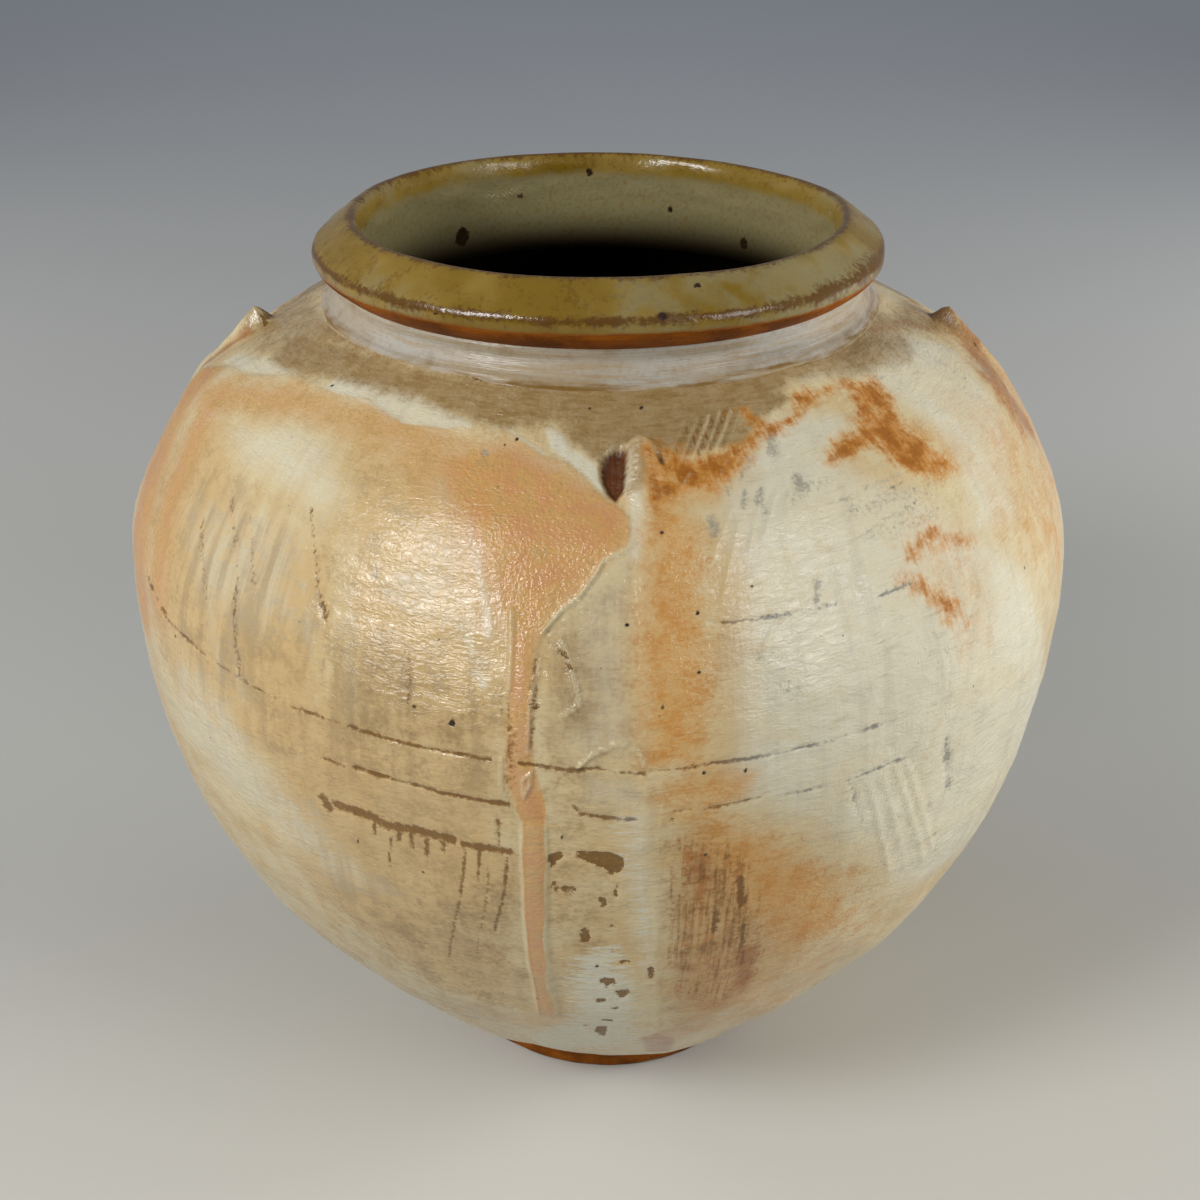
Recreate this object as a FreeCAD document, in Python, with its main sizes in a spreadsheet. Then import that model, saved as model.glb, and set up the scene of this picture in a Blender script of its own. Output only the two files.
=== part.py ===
import FreeCAD, Part
import math
import os

import Sketcher

# A stoneware moon jar: a foot ring, two bowls luted at the belly, a neck, an everted rim
# and four ribs pressed on the shoulder. Z is the axis of the jar, Z = 0 is the face it stands on,
# and the front of the jar looks towards -Y. All lengths are in millimetres.

SIZES = (
    ("foot_height", 8.0, "height of the foot ring"),
    ("foot_radius", 49.5, "outer radius of the foot ring where it stands"),
    ("foot_top_radius", 50.0, "outer radius of the foot ring under the bowl"),
    ("foot_width", 8.5, "width of the face the jar stands on"),
    ("foot_round", 1.2, "rounding of the edges of that face"),
    ("tongue_width", 3.6, "width of the tongue on top of the foot ring"),
    ("tongue_height", 2.0, "height of that tongue"),
    ("bowl_foot_radius", 51.5, "outer radius of the lower bowl on the foot ring"),
    ("lower_height", 141.2, "height of the lower bowl"),
    ("floor_thickness", 8.0, "thickness of the floor of the jar"),
    ("belly_radius", 132.7, "radius of the creases at the belly"),
    ("lobe_depth", 5.0, "how far the middle of a lobe lies inside the creases"),
    ("wall", 7.0, "thickness of the bowls"),
    ("seam_thickness", 1.6, "thickness of the slip between the bowls"),
    ("seam_score", 0.6, "depth of the scored line outside the slip"),
    ("seam_bead", 1.5, "how far the slip is squeezed out inside"),
    ("upper_height", 80.2, "height of the upper bowl"),
    ("neck_radius", 69.6, "outer radius of the neck under the rim"),
    ("neck_flare", 0.7, "how much wider the neck is on the shoulder"),
    ("neck_wall", 7.1, "thickness of the neck under the rim"),
    ("neck_height", 5.2, "height of the neck that shows"),
    ("step_width", 3.4, "width of the steps that locate neck and rim"),
    ("step_height", 2.4, "height of those steps"),
    ("rim_height", 16.2, "height of the rim before its lip is rounded"),
    ("rim_overhang", 5.1, "how far the corner of the rim stands out from the neck"),
    ("rim_corner_height", 8.4, "height of that corner above the neck"),
    ("rim_edge_height", 5.0, "height of the lower edge of the rim above the neck"),
    ("rim_edge_inset", 0.5, "how far the lower edge lies inside the corner"),
    ("rim_lap", 0.6, "how far the underside of the rim laps over the neck"),
    ("lip_lean", 2.1, "how far the crest of the lip leans out from the bore"),
    ("lip_round", 1.0, "rounding of the lip"),
    ("corner_round", 1.6, "rounding of the corner of the rim"),
    ("edge_round", 1.8, "rounding of the lower edge of the rim"),
    ("rib_width", 14.0, "width of a rib where it is buried in the shoulder"),
    ("rib_crest", 4.6, "width of the rounded crest of a rib"),
    ("rib_crest_rise", 1.4, "rise of that rounding"),
    ("rib_proud", 7.2, "how far the nub stands out from the crease, level with it"),
    ("rib_bury", 2.6, "how deep a rib is pressed into the shoulder"),
    ("nub_rise", 2.0, "height of the tip of the nub above the head of the rib"),
    ("nub_length", 5.0, "length of the tip of the nub along the radius"),
    ("fit_clearance", 0.1, "clearance at the sides of tongues and steps"),
    ("crease_azimuth", 5.0, "turn of the front crease to the right, in degrees"),
)

# Places of the sections of the two bowls, as shares of the bowl's height,
# of the way from its end radius to the belly, and of the depth of the lobes.
LOWER_HEIGHT_SHARES = (0.0, 0.072, 0.227, 0.382, 0.552, 0.737, 0.899, 1.0)
LOWER_RADIUS_SHARES = (0.0, 0.179, 0.429, 0.649, 0.824, 0.936, 0.988, 1.0)
LOWER_LOBE_SHARES = (0.0, 0.16, 0.4, 0.64, 0.84, 0.96, 1.0, 1.0)
UPPER_HEIGHT_SHARES = (0.0, 0.177, 0.389, 0.589, 0.738, 0.875, 0.963, 1.0)
UPPER_RADIUS_SHARES = (1.0, 0.979, 0.891, 0.740, 0.585, 0.300, 0.090, 0.0)
UPPER_LOBE_SHARES = (1.0, 1.0, 0.96, 0.84, 0.64, 0.32, 0.08, 0.0)

# How much of the wall lies inwards and upwards from the outer section to the inner one.
LOWER_INWARD_SHARES = (0.5, 0.66, 0.77, 0.83, 0.91, 0.97, 0.99, 1.0)
LOWER_UPWARD_SHARES = (1.0, 0.75, 0.64, 0.56, 0.42, 0.25, 0.1, 0.0)
UPPER_INWARD_SHARES = (1.0, 0.99, 0.92, 0.83, 0.68, 0.52)
UPPER_UPWARD_SHARES = (0.0, -0.12, -0.39, -0.56, -0.73, -0.85)

# The ribs follow the sections of the upper bowl from the second on, and stand out by these shares.
RIB_PROUD_SHARES = (0.18, 0.3, 0.42, 0.56, 1.0)
RIB_WIDTH_SHARES = (0.5, 0.65, 0.8, 0.95, 1.0)
NUB_WIDTH_SHARE = 0.5

RIB_TURNS = (("front_rib", -90), ("right_rib", 0), ("back_rib", 90), ("left_rib", 180))
QUARTERS = 4
FULL_TURN = 360
EDGE_MATCH = 0.01


class Size:
    """A length, or a number made from lengths, with the formula that gives it from the sheet."""

    def __init__(self, value, formula):
        self.value = value
        self.formula = formula

    def __add__(self, other):
        other = as_size(other)
        return Size(self.value + other.value, f"({self.formula} + {other.formula})")

    def __sub__(self, other):
        other = as_size(other)
        return Size(self.value - other.value, f"({self.formula} - {other.formula})")

    def __mul__(self, other):
        other = as_size(other)
        return Size(self.value * other.value, f"({self.formula} * {other.formula})")

    def __truediv__(self, other):
        other = as_size(other)
        return Size(self.value / other.value, f"({self.formula} / {other.formula})")

    def __neg__(self):
        return Size(-self.value, f"(-{self.formula})")


def as_size(number):
    return number if isinstance(number, Size) else Size(float(number), f"({number})")


NOTHING = as_size(0)


def make_sheet(doc):
    """Write the driving sizes in a sheet, one to a row, and return them by name."""
    sheet = doc.addObject("Spreadsheet::Sheet", "Sizes")
    sizes = {}
    for row, (name, value, note) in enumerate(SIZES, start=1):
        sheet.set(f"A{row}", name)
        sheet.set(f"B{row}", str(value))
        sheet.set(f"C{row}", note)
        sheet.setAlias(f"B{row}", name)
        sizes[name] = Size(value, f"Sizes.{name}")
    doc.recompute()
    return sizes


def make_body(doc, name, turn):
    body = doc.addObject("PartDesign::Body", name)
    body.Label = name
    upright = FreeCAD.Vector(0, 0, 1)
    body.Placement = FreeCAD.Placement(FreeCAD.Vector(), FreeCAD.Rotation(upright, turn.value))
    body.setExpression("Placement.Rotation.Angle", f"{turn.formula} * 1 deg")
    return body


def add_sketch(body, name, plane, height=NOTHING):
    """Add a sketch on one of the body's own origin planes, raised along its normal."""
    support = [item for item in body.Origin.OriginFeatures if item.Role == plane][0]
    sketch = body.newObject("Sketcher::SketchObject", name)
    sketch.AttachmentSupport = [(support, "")]
    sketch.MapMode = "FlatFace"
    sketch.setExpression("AttachmentOffset.Base.z", height.formula)
    return sketch


def pin(sketch, line, end, across, up):
    """Hold one end of a line or arc at a place measured from the sketch's origin."""
    for kind, size in (("DistanceX", across), ("DistanceY", up)):
        place = sketch.addConstraint(Sketcher.Constraint(kind, -1, 1, line, end, size.value))
        sketch.setExpression(f"Constraints[{place}]", size.formula)


def add_outline(body, name, plane, corners, height=NOTHING):
    """Add a sketch of straight lines through corners, each given by two sizes."""
    sketch = add_sketch(body, name, plane, height)
    points = [FreeCAD.Vector(across.value, up.value, 0) for across, up in corners]
    lines = []
    for start, end in zip(points, points[1:] + points[:1]):
        lines.append(sketch.addGeometry(Part.LineSegment(start, end), False))
    for line, after in zip(lines, lines[1:] + lines[:1]):
        sketch.addConstraint(Sketcher.Constraint("Coincident", line, 2, after, 1))
    for line, (across, up) in zip(lines, corners):
        pin(sketch, line, 1, across, up)
    return sketch


def lobe_arc_radius(crease, depth):
    """Radius of the arc from crease to crease whose middle lies inside them by a depth."""
    half_chord = crease * math.sqrt(0.5)
    rise = crease - depth - half_chord
    return (half_chord * half_chord + rise * rise) / (rise * 2)


def add_lobes(sketch, crease, depth):
    """Draw four arcs that meet at the creases, on the sketch's own axes."""
    middle = crease.value - depth.value
    arcs = []
    for quarter in range(QUARTERS):
        turns = [math.radians(90 * quarter + part) for part in (0, 45, 90)]
        reach = [crease.value, middle, crease.value]
        points = [
            FreeCAD.Vector(size * math.cos(turn), size * math.sin(turn), 0)
            for size, turn in zip(reach, turns)
        ]
        arcs.append(sketch.addGeometry(Part.Arc(*points), False))
    for arc, after in zip(arcs, arcs[1:] + arcs[:1]):
        sketch.addConstraint(Sketcher.Constraint("Coincident", arc, 2, after, 1))
    pin(sketch, arcs[0], 1, crease, NOTHING)
    pin(sketch, arcs[1], 1, NOTHING, crease)
    for arc in arcs[:2]:
        sketch.addConstraint(Sketcher.Constraint("Symmetric", arc, 1, arc + 2, 1, -1, 1))
    bend = lobe_arc_radius(crease, depth)
    place = sketch.addConstraint(Sketcher.Constraint("Radius", arcs[0], bend.value))
    sketch.setExpression(f"Constraints[{place}]", bend.formula)
    for arc in arcs[1:]:
        sketch.addConstraint(Sketcher.Constraint("Equal", arcs[0], arc))


def add_loft(body, kind, name, sections, ruled=False):
    """Loft through sections, each a height with the radius and depth of its lobes."""
    sketches = []
    for number, (height, crease, depth) in enumerate(sections, start=1):
        sketch = add_sketch(body, f"{name}_section_{number}", "XY_Plane", height)
        add_lobes(sketch, crease, depth)
        sketches.append(sketch)
    return loft_through(body, kind, name, sketches, ruled)


def loft_through(body, kind, name, sketches, ruled):
    loft = body.newObject(kind, name)
    loft.Profile = (sketches[0], [""])
    loft.Sections = [(sketch, [""]) for sketch in sketches[1:]]
    loft.Ruled = ruled
    return loft


def add_turned(body, kind, name, sketch):
    """Turn a sketch of the XZ plane round the axis of the jar."""
    turned = body.newObject(kind, name)
    turned.Profile = sketch
    turned.ReferenceAxis = (sketch, ["V_Axis"])
    turned.Angle = FULL_TURN
    return turned


def round_edges(doc, body, name, feature, places, size):
    """Round the circular edges of a turned feature that have the given radius and height."""
    doc.recompute()
    names = []
    for number, edge in enumerate(feature.Shape.Edges, start=1):
        if not isinstance(edge.Curve, Part.Circle):
            continue
        for radius, height in places:
            off_radius = abs(edge.Curve.Radius - radius.value)
            off_height = abs(edge.Curve.Center.z - height.value)
            if max(off_radius, off_height) < EDGE_MATCH:
                names.append(f"Edge{number}")
    fillet = body.newObject("PartDesign::Fillet", name)
    fillet.Base = (feature, names)
    fillet.setExpression("Radius", size.formula)
    return fillet


def section_sizes(sizes, bowl):
    """Heights, crease radii and lobe depths of the outer sections of one bowl."""
    if bowl == "lower":
        bottom = sizes["foot_height"]
        height = sizes["lower_height"]
        end_radius = sizes["bowl_foot_radius"]
        shares = zip(LOWER_HEIGHT_SHARES, LOWER_RADIUS_SHARES, LOWER_LOBE_SHARES)
    else:
        bottom = seam_top(sizes)
        height = sizes["upper_height"]
        end_radius = sizes["neck_radius"] + sizes["neck_flare"]
        shares = zip(UPPER_HEIGHT_SHARES, UPPER_RADIUS_SHARES, UPPER_LOBE_SHARES)
    swell = sizes["belly_radius"] - end_radius
    return [
        (bottom + height * up_share, end_radius + swell * out_share, sizes["lobe_depth"] * lobe_share)
        for up_share, out_share, lobe_share in shares
    ]


def inner_sections(sizes, outer, inward_shares, upward_shares):
    """Sections of the hollow, one wall inside the outer sections."""
    wall = sizes["wall"]
    return [
        (height + wall * upward, crease - wall * inward, depth)
        for (height, crease, depth), inward, upward in zip(outer, inward_shares, upward_shares)
    ]


def seam_top(sizes):
    return sizes["foot_height"] + sizes["lower_height"] + sizes["seam_thickness"]


def neck_seat(sizes):
    return seam_top(sizes) + sizes["upper_height"]


def neck_bore(sizes):
    return sizes["neck_radius"] - sizes["neck_wall"]


def rim_seat(sizes):
    return neck_seat(sizes) + sizes["neck_height"]


def tongue_radii(sizes):
    """Inner and outer radius of the tongue, in the middle of the foot ring."""
    middle = sizes["foot_radius"] - sizes["foot_width"] / 2
    return middle - sizes["tongue_width"] / 2, middle + sizes["tongue_width"] / 2


def make_foot_ring(doc, sizes):
    """A trimmed ring with a tongue on top that enters the floor of the lower bowl."""
    body = make_body(doc, "foot_ring", NOTHING)
    inner = sizes["foot_radius"] - sizes["foot_width"]
    top = sizes["foot_height"]
    tongue_in, tongue_out = tongue_radii(sizes)
    tongue_top = top + sizes["tongue_height"]
    corners = [
        (inner, NOTHING),
        (sizes["foot_radius"], NOTHING),
        (sizes["foot_top_radius"], top),
        (tongue_out, top),
        (tongue_out, tongue_top),
        (tongue_in, tongue_top),
        (tongue_in, top),
        (inner, top),
    ]
    sketch = add_outline(body, "foot_outline", "XZ_Plane", corners)
    ring = add_turned(body, "PartDesign::Revolution", "foot_turned", sketch)
    edges = [(inner, NOTHING), (sizes["foot_radius"], NOTHING)]
    round_edges(doc, body, "foot_rounded", ring, edges, sizes["foot_round"])
    return body


def make_lower_bowl(doc, sizes):
    """The lower bowl, from the foot ring to the belly, with a groove for the foot's tongue."""
    body = make_body(doc, "lower_bowl", sizes["crease_azimuth"])
    outer = section_sizes(sizes, "lower")
    add_loft(body, "PartDesign::AdditiveLoft", "lower_form", outer)
    inner = inner_sections(sizes, outer, LOWER_INWARD_SHARES, LOWER_UPWARD_SHARES)
    floor = sizes["foot_height"] + sizes["floor_thickness"]
    inner[0] = (floor, inner[0][1], inner[0][2])
    add_loft(body, "PartDesign::SubtractiveLoft", "lower_hollow", inner)
    clearance = sizes["fit_clearance"]
    tongue_in, tongue_out = tongue_radii(sizes)
    groove_in = tongue_in - clearance
    groove_out = tongue_out + clearance
    groove_top = sizes["foot_height"] + sizes["tongue_height"] + clearance
    corners = [
        (groove_in, sizes["foot_height"]),
        (groove_out, sizes["foot_height"]),
        (groove_out, groove_top),
        (groove_in, groove_top),
    ]
    sketch = add_outline(body, "foot_groove_outline", "XZ_Plane", corners)
    add_turned(body, "PartDesign::Groove", "foot_groove", sketch)
    return body


def make_belly_seam(doc, sizes):
    """The slip between the bowls: scored outside, squeezed out in a bead inside."""
    body = make_body(doc, "belly_seam", sizes["crease_azimuth"])
    height = sizes["foot_height"] + sizes["lower_height"]
    sketch = add_sketch(body, "seam_outline", "XY_Plane", height)
    depth = sizes["lobe_depth"]
    add_lobes(sketch, sizes["belly_radius"] - sizes["seam_score"], depth)
    add_lobes(sketch, sizes["belly_radius"] - sizes["wall"] - sizes["seam_bead"], depth)
    pad = body.newObject("PartDesign::Pad", "seam_ring")
    pad.Profile = sketch
    pad.setExpression("Length", sizes["seam_thickness"].formula)
    return body


def make_upper_bowl(doc, sizes):
    """The upper bowl, from the belly to the neck, with a stepped seat for the neck."""
    body = make_body(doc, "upper_bowl", sizes["crease_azimuth"])
    outer = section_sizes(sizes, "upper")
    add_loft(body, "PartDesign::AdditiveLoft", "upper_form", outer)
    top = neck_seat(sizes)
    bore = neck_bore(sizes)
    inner = inner_sections(sizes, outer, UPPER_INWARD_SHARES, UPPER_UPWARD_SHARES)
    inner.append((top - sizes["wall"], bore, NOTHING))
    add_loft(body, "PartDesign::SubtractiveLoft", "upper_hollow", inner)
    step_radius = bore + sizes["step_width"] + sizes["fit_clearance"]
    step_floor = top - sizes["step_height"] - sizes["fit_clearance"]
    below = top - sizes["wall"] - sizes["step_height"]
    corners = [
        (NOTHING, below),
        (bore, below),
        (bore, step_floor),
        (step_radius, step_floor),
        (step_radius, top),
        (NOTHING, top),
    ]
    sketch = add_outline(body, "mouth_outline", "XZ_Plane", corners)
    add_turned(body, "PartDesign::Groove", "mouth", sketch)
    return body


def make_neck(doc, sizes):
    """The collar: a tongue below enters the upper bowl, a step above takes the rim."""
    body = make_body(doc, "neck", NOTHING)
    seat = neck_seat(sizes)
    top = rim_seat(sizes)
    bore = neck_bore(sizes)
    step = sizes["step_height"]
    tongue_radius = bore + sizes["step_width"]
    step_radius = tongue_radius + sizes["fit_clearance"]
    step_floor = top - step - sizes["fit_clearance"]
    corners = [
        (bore, seat - step),
        (tongue_radius, seat - step),
        (tongue_radius, seat),
        (sizes["neck_radius"] + sizes["neck_flare"], seat),
        (sizes["neck_radius"], top),
        (step_radius, top),
        (step_radius, step_floor),
        (bore, step_floor),
    ]
    sketch = add_outline(body, "neck_outline", "XZ_Plane", corners)
    add_turned(body, "PartDesign::Revolution", "neck_turned", sketch)
    return body


def make_rim(doc, sizes):
    """The everted rim: its top slopes out from the lip to a thick rounded edge."""
    body = make_body(doc, "rim", NOTHING)
    seat = rim_seat(sizes)
    bore = neck_bore(sizes)
    step = sizes["step_height"]
    tongue_radius = bore + sizes["step_width"]
    corner_radius = sizes["neck_radius"] + sizes["rim_overhang"]
    lip = (bore + sizes["lip_lean"], seat + sizes["rim_height"])
    corner = (corner_radius, seat + sizes["rim_corner_height"])
    edge = (corner_radius - sizes["rim_edge_inset"], seat + sizes["rim_edge_height"])
    corners = [
        (bore, seat - step),
        (tongue_radius, seat - step),
        (tongue_radius, seat),
        (sizes["neck_radius"] + sizes["rim_lap"], seat),
        edge,
        corner,
        lip,
    ]
    sketch = add_outline(body, "rim_outline", "XZ_Plane", corners)
    turned = add_turned(body, "PartDesign::Revolution", "rim_turned", sketch)
    lip_done = round_edges(doc, body, "lip_rounded", turned, [lip], sizes["lip_round"])
    corner_done = round_edges(doc, body, "corner_rounded", lip_done, [corner], sizes["corner_round"])
    round_edges(doc, body, "edge_rounded", corner_done, [edge], sizes["edge_round"])
    return body


def add_rib_section(body, name, height, low, top, half_width, sizes):
    """A wedge with a rounded crest, lying level across the rib."""
    sketch = add_sketch(body, name, "XY_Plane", height)
    half_crest = sizes["rib_crest"] / 2
    rise = sizes["rib_crest_rise"]
    side = top - rise
    corners = [(low, half_width), (low, -half_width), (side, -half_crest), (side, half_crest)]
    points = [FreeCAD.Vector(across.value, up.value, 0) for across, up in corners]
    crest = FreeCAD.Vector(top.value, 0, 0)
    base = sketch.addGeometry(Part.LineSegment(points[0], points[1]), False)
    right = sketch.addGeometry(Part.LineSegment(points[1], points[2]), False)
    round_crest = sketch.addGeometry(Part.Arc(points[2], crest, points[3]), False)
    left = sketch.addGeometry(Part.LineSegment(points[3], points[0]), False)
    edges = [base, right, round_crest, left]
    for edge, after in zip(edges, edges[1:] + edges[:1]):
        sketch.addConstraint(Sketcher.Constraint("Coincident", edge, 2, after, 1))
    for edge, (across, up) in zip(edges, corners):
        pin(sketch, edge, 1, across, up)
    bend = (half_crest * half_crest + rise * rise) / (rise * 2)
    place = sketch.addConstraint(Sketcher.Constraint("Radius", round_crest, bend.value))
    sketch.setExpression(f"Constraints[{place}]", bend.formula)
    return sketch


def make_rib(doc, sizes, name, quarter, bowl):
    """A strip pressed on a crease of the shoulder, cut to the bowl it lies on."""
    body = make_body(doc, f"{name}_strip", sizes["crease_azimuth"] + quarter)
    followed = section_sizes(sizes, "upper")[1:]
    sketches = []
    for (height, crease, depth), proud, wide in zip(followed, RIB_PROUD_SHARES, RIB_WIDTH_SHARES):
        low = crease - sizes["rib_bury"]
        top = crease + sizes["rib_proud"] * proud
        half_width = sizes["rib_width"] * wide / 2
        label = f"{name}_section_{len(sketches) + 1}"
        sketches.append(add_rib_section(body, label, height, low, top, half_width, sizes))
    tip_top = top - sizes["rib_crest_rise"]
    tip_low = tip_top - sizes["nub_length"]
    tip_half = sizes["rib_width"] * NUB_WIDTH_SHARE / 2
    tip_height = height + sizes["nub_rise"]
    label = f"{name}_tip_section"
    sketches.append(add_rib_section(body, label, tip_height, tip_low, tip_top, tip_half, sizes))
    loft_through(body, "PartDesign::AdditiveLoft", f"{name}_form", sketches, True)
    rib = doc.addObject("Part::Cut", name)
    rib.Label = name
    rib.Base = body
    rib.Tool = bowl
    return rib


def check_document(doc, pieces):
    """Stop if any object failed, or if a piece has no sound solid."""
    for item in doc.Objects:
        if "Invalid" in item.State or "Error" in item.State:
            raise RuntimeError(f"{item.Name} failed: {item.State}")
    for piece in pieces:
        shape = piece.Shape
        if shape.isNull() or not shape.isValid() or not shape.Solids:
            raise RuntimeError(f"{piece.Label} has no valid solid")
        low, high = shape.BoundBox.ZMin, shape.BoundBox.ZMax
        print(f"{piece.Label}: {len(shape.Solids)} solid, {shape.Volume:.0f} mm3, z {low:.2f} to {high:.2f}")


def main():
    doc = FreeCAD.newDocument("moon_jar")
    sizes = make_sheet(doc)
    upper_bowl = make_upper_bowl(doc, sizes)
    pieces = [
        make_foot_ring(doc, sizes),
        make_lower_bowl(doc, sizes),
        make_belly_seam(doc, sizes),
        upper_bowl,
        make_neck(doc, sizes),
        make_rim(doc, sizes),
    ]
    for name, quarter in RIB_TURNS:
        pieces.append(make_rib(doc, sizes, name, quarter, upper_bowl))
    doc.recompute()
    check_document(doc, pieces)
    os.makedirs("parts", exist_ok=True)
    for piece in pieces:
        piece.Shape.exportStep(f"parts/{piece.Label}.step")


main()
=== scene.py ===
import math
from collections import namedtuple

import bmesh
import bpy
import numpy as np
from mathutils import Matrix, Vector


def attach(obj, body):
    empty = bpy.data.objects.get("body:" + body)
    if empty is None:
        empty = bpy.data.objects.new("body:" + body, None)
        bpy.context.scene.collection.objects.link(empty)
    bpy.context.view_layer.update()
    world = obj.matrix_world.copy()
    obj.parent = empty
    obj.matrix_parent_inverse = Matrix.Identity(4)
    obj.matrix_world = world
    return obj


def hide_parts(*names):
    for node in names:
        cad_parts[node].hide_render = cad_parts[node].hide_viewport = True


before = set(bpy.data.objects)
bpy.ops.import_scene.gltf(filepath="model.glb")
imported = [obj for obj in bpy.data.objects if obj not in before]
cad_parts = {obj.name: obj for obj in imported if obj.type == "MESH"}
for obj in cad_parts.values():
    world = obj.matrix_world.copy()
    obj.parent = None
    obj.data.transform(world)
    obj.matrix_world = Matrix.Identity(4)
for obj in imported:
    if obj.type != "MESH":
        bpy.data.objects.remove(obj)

bl_info = {
    "name": "Moon jar",
    "version": (1, 0, 0),
    "blender": (4, 5, 0),
    "location": "3D View > Sidebar > Moon jar",
    "description": "Throws and glazes a moon jar on its packed solids",
    "category": "Add Mesh",
}

MM = 0.001

# Heights and radii of a crease of the wall, and how much of the lobe depth lies between creases, in mm.
WALL_STATIONS = (
    (8.0, 50.8, 0.1), (18.2, 64.3, 0.3), (40.0, 85.9, 0.5), (62.0, 104.2, 0.64), (86.0, 118.4, 0.84),
    (112.1, 127.5, 0.96), (134.9, 131.7, 1.0), (149.2, 132.7, 1.0), (165.0, 131.4, 1.0), (182.0, 125.9, 0.96),
    (198.0, 116.5, 0.84), (210.0, 106.5, 0.64), (221.0, 88.6, 0.32), (228.0, 75.3, 0.08), (231.0, 69.6, 0.0),
)
# Turn of the front crease at some heights: it leans towards the right of the foot.
CREASE_STATIONS = ((8.0, 14.5), (20.0, 13.6), (45.0, 9.5), (90.0, 5.6), (140.0, 4.8), (231.0, 4.8))
# Sideways lean of a pot thrown by hand, at some heights, in mm.
LEAN_STATIONS = ((0.0, 2.4), (40.0, 1.6), (100.0, 0.6), (150.0, 0.3), (231.0, -0.2), (252.0, -0.3))
# Section of the rim, from where it sits on the neck round the edge and the lip to the lining below, in mm.
RIM_STATIONS = (
    (69.4, 235.6), (70.2, 236.5), (71.6, 237.5), (73.2, 238.8), (74.3, 239.9), (75.0, 241.3), (75.1, 242.8),
    (74.8, 244.2), (73.9, 245.4), (72.4, 246.5), (70.6, 247.8), (68.8, 249.2), (67.2, 250.5), (65.9, 251.2),
    (64.7, 251.4), (63.6, 250.9), (62.9, 249.8), (62.5, 248.0), (62.3, 245.0), (62.2, 241.0), (62.2, 236.5),
    (62.2, 231.5), (62.7, 227.8), (64.2, 224.6), (66.8, 222.2),
)
# Rows at the back of the rim, out of sight, which close its section, in mm.
RIM_BACK = ((70.5, 224.0), (69.0, 229.0), (68.0, 235.2))
# Stations of the rim where its underside ends, at its corner and crest, and where the lining begins.
RIM_LINES = (5, 7, 14, 17)
RIM_ROWS = 96
RIM_COLUMNS = 480
# Section of the neck from its top down to the white skirt, and the rows behind the skirt, in mm.
NECK_SECTION = (
    (64.0, 236.4), (70.1, 236.6), (70.0, 235.4), (69.7, 234.0), (69.6, 232.8), (70.0, 231.9), (70.9, 231.2),
)
NECK_BACK = ((71.5, 229.2), (64.0, 230.6))
NECK_COLUMNS = 600
SKIRT_ROWS = 14
# Section of the foot ring from its inside round its face to the wall, in mm.
FOOT_SECTION = (
    (41.2, 8.2), (41.0, 4.0), (41.1, 1.4), (41.8, 0.3), (42.8, 0.0), (45.5, 0.0), (47.8, 0.0), (48.8, 0.2),
    (49.4, 0.9), (49.6, 2.0), (49.5, 3.4), (49.4, 5.0), (49.5, 6.4), (49.7, 7.4), (50.0, 8.4),
)
FOOT_COLUMNS = 360
# Heights of the inner wall's rows, and the rings that close the bowls, in mm.
LOWER_INSIDE_HEIGHTS = (130.0, 105.0, 80.0, 58.0, 38.0, 24.0)
UPPER_INSIDE_HEIGHTS = (226.0, 218.0, 208.0, 196.0, 180.0, 165.0)
UNDERSIDE_RADIUS = 47.0
FLOOR_RADIUS = 40.0
FLOOR_HEIGHT = 16.0
NECK_SEAT_RADIUS = 63.0
CENTRE = 1e-4
# Half width of the softness of a crease in degrees.
CREASE_SOFTNESS = 2.2
# Distance between the wall's rows below and above the seam, and heights with more rows round them, in mm.
LOWER_PITCH = 1.55
UPPER_PITCH = 1.05
CROWDED_HEIGHTS = (139.0, 150.0, 161.2, 191.0)
# Unevenness of the thrown wall: height and length of its waves in mm, how far they are drawn out, and a seed.
WALL_WAVES = ((0.28, 42.0, 1.0, 3), (0.1, 15.0, 1.0, 5), (0.05, 5.0, 0.15, 7))
# Radius in metres on which patterns are wrapped round the jar.
WRAP_RADIUS = 0.1
# Nearest and farthest place on a ray of the camera that is tried, and the step between, in mm.
RAY_REACH = (220.0, 640.0, 0.4)

# A rib: its name, how far it is turned from its crease in degrees, how much lower its top lies in mm,
# how proud it stands, and its height and width at the drops below its top that follow.
Rib = namedtuple("Rib", "name shift drop growth falls widths")
FALL_DROPS = (-2.0, -0.8, 0.8, 5.0, 10.0, 18.0, 40.0, 60.0)
WIDTH_DROPS = (-2.0, 0.0, 5.0, 12.0, 40.0)
LONG_FALLS = (0.0, 0.75, 1.0, 0.84, 0.46, 0.2, 0.1, 0.0)
SHORT_FALLS = (0.0, 0.7, 1.0, 0.76, 0.44, 0.16, 0.08, 0.0)
BROAD_WIDTHS = (0.6, 0.7, 0.95, 1.1, 1.35)
SLIM_WIDTHS = (0.5, 0.55, 0.72, 0.95, 1.35)
RIBS = (
    Rib("front_rib", 1.2, 0.0, 1.0, LONG_FALLS, BROAD_WIDTHS),
    Rib("right_rib", -2.0, 3.5, 1.1, SHORT_FALLS, SLIM_WIDTHS),
    Rib("back_rib", 1.0, 0.0, 1.0, LONG_FALLS, BROAD_WIDTHS),
    Rib("left_rib", -7.5, 2.4, 1.25, SHORT_FALLS, SLIM_WIDTHS),
)
# Heights at which a rib's sheet ends, height of its top, half the sheet's width and its thickness, in mm.
RIB_ENDS = (166.0, 226.5)
RIB_TOP = 220.6
RIB_REACH = 13.0
RIB_THICKNESS = 1.2

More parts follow.
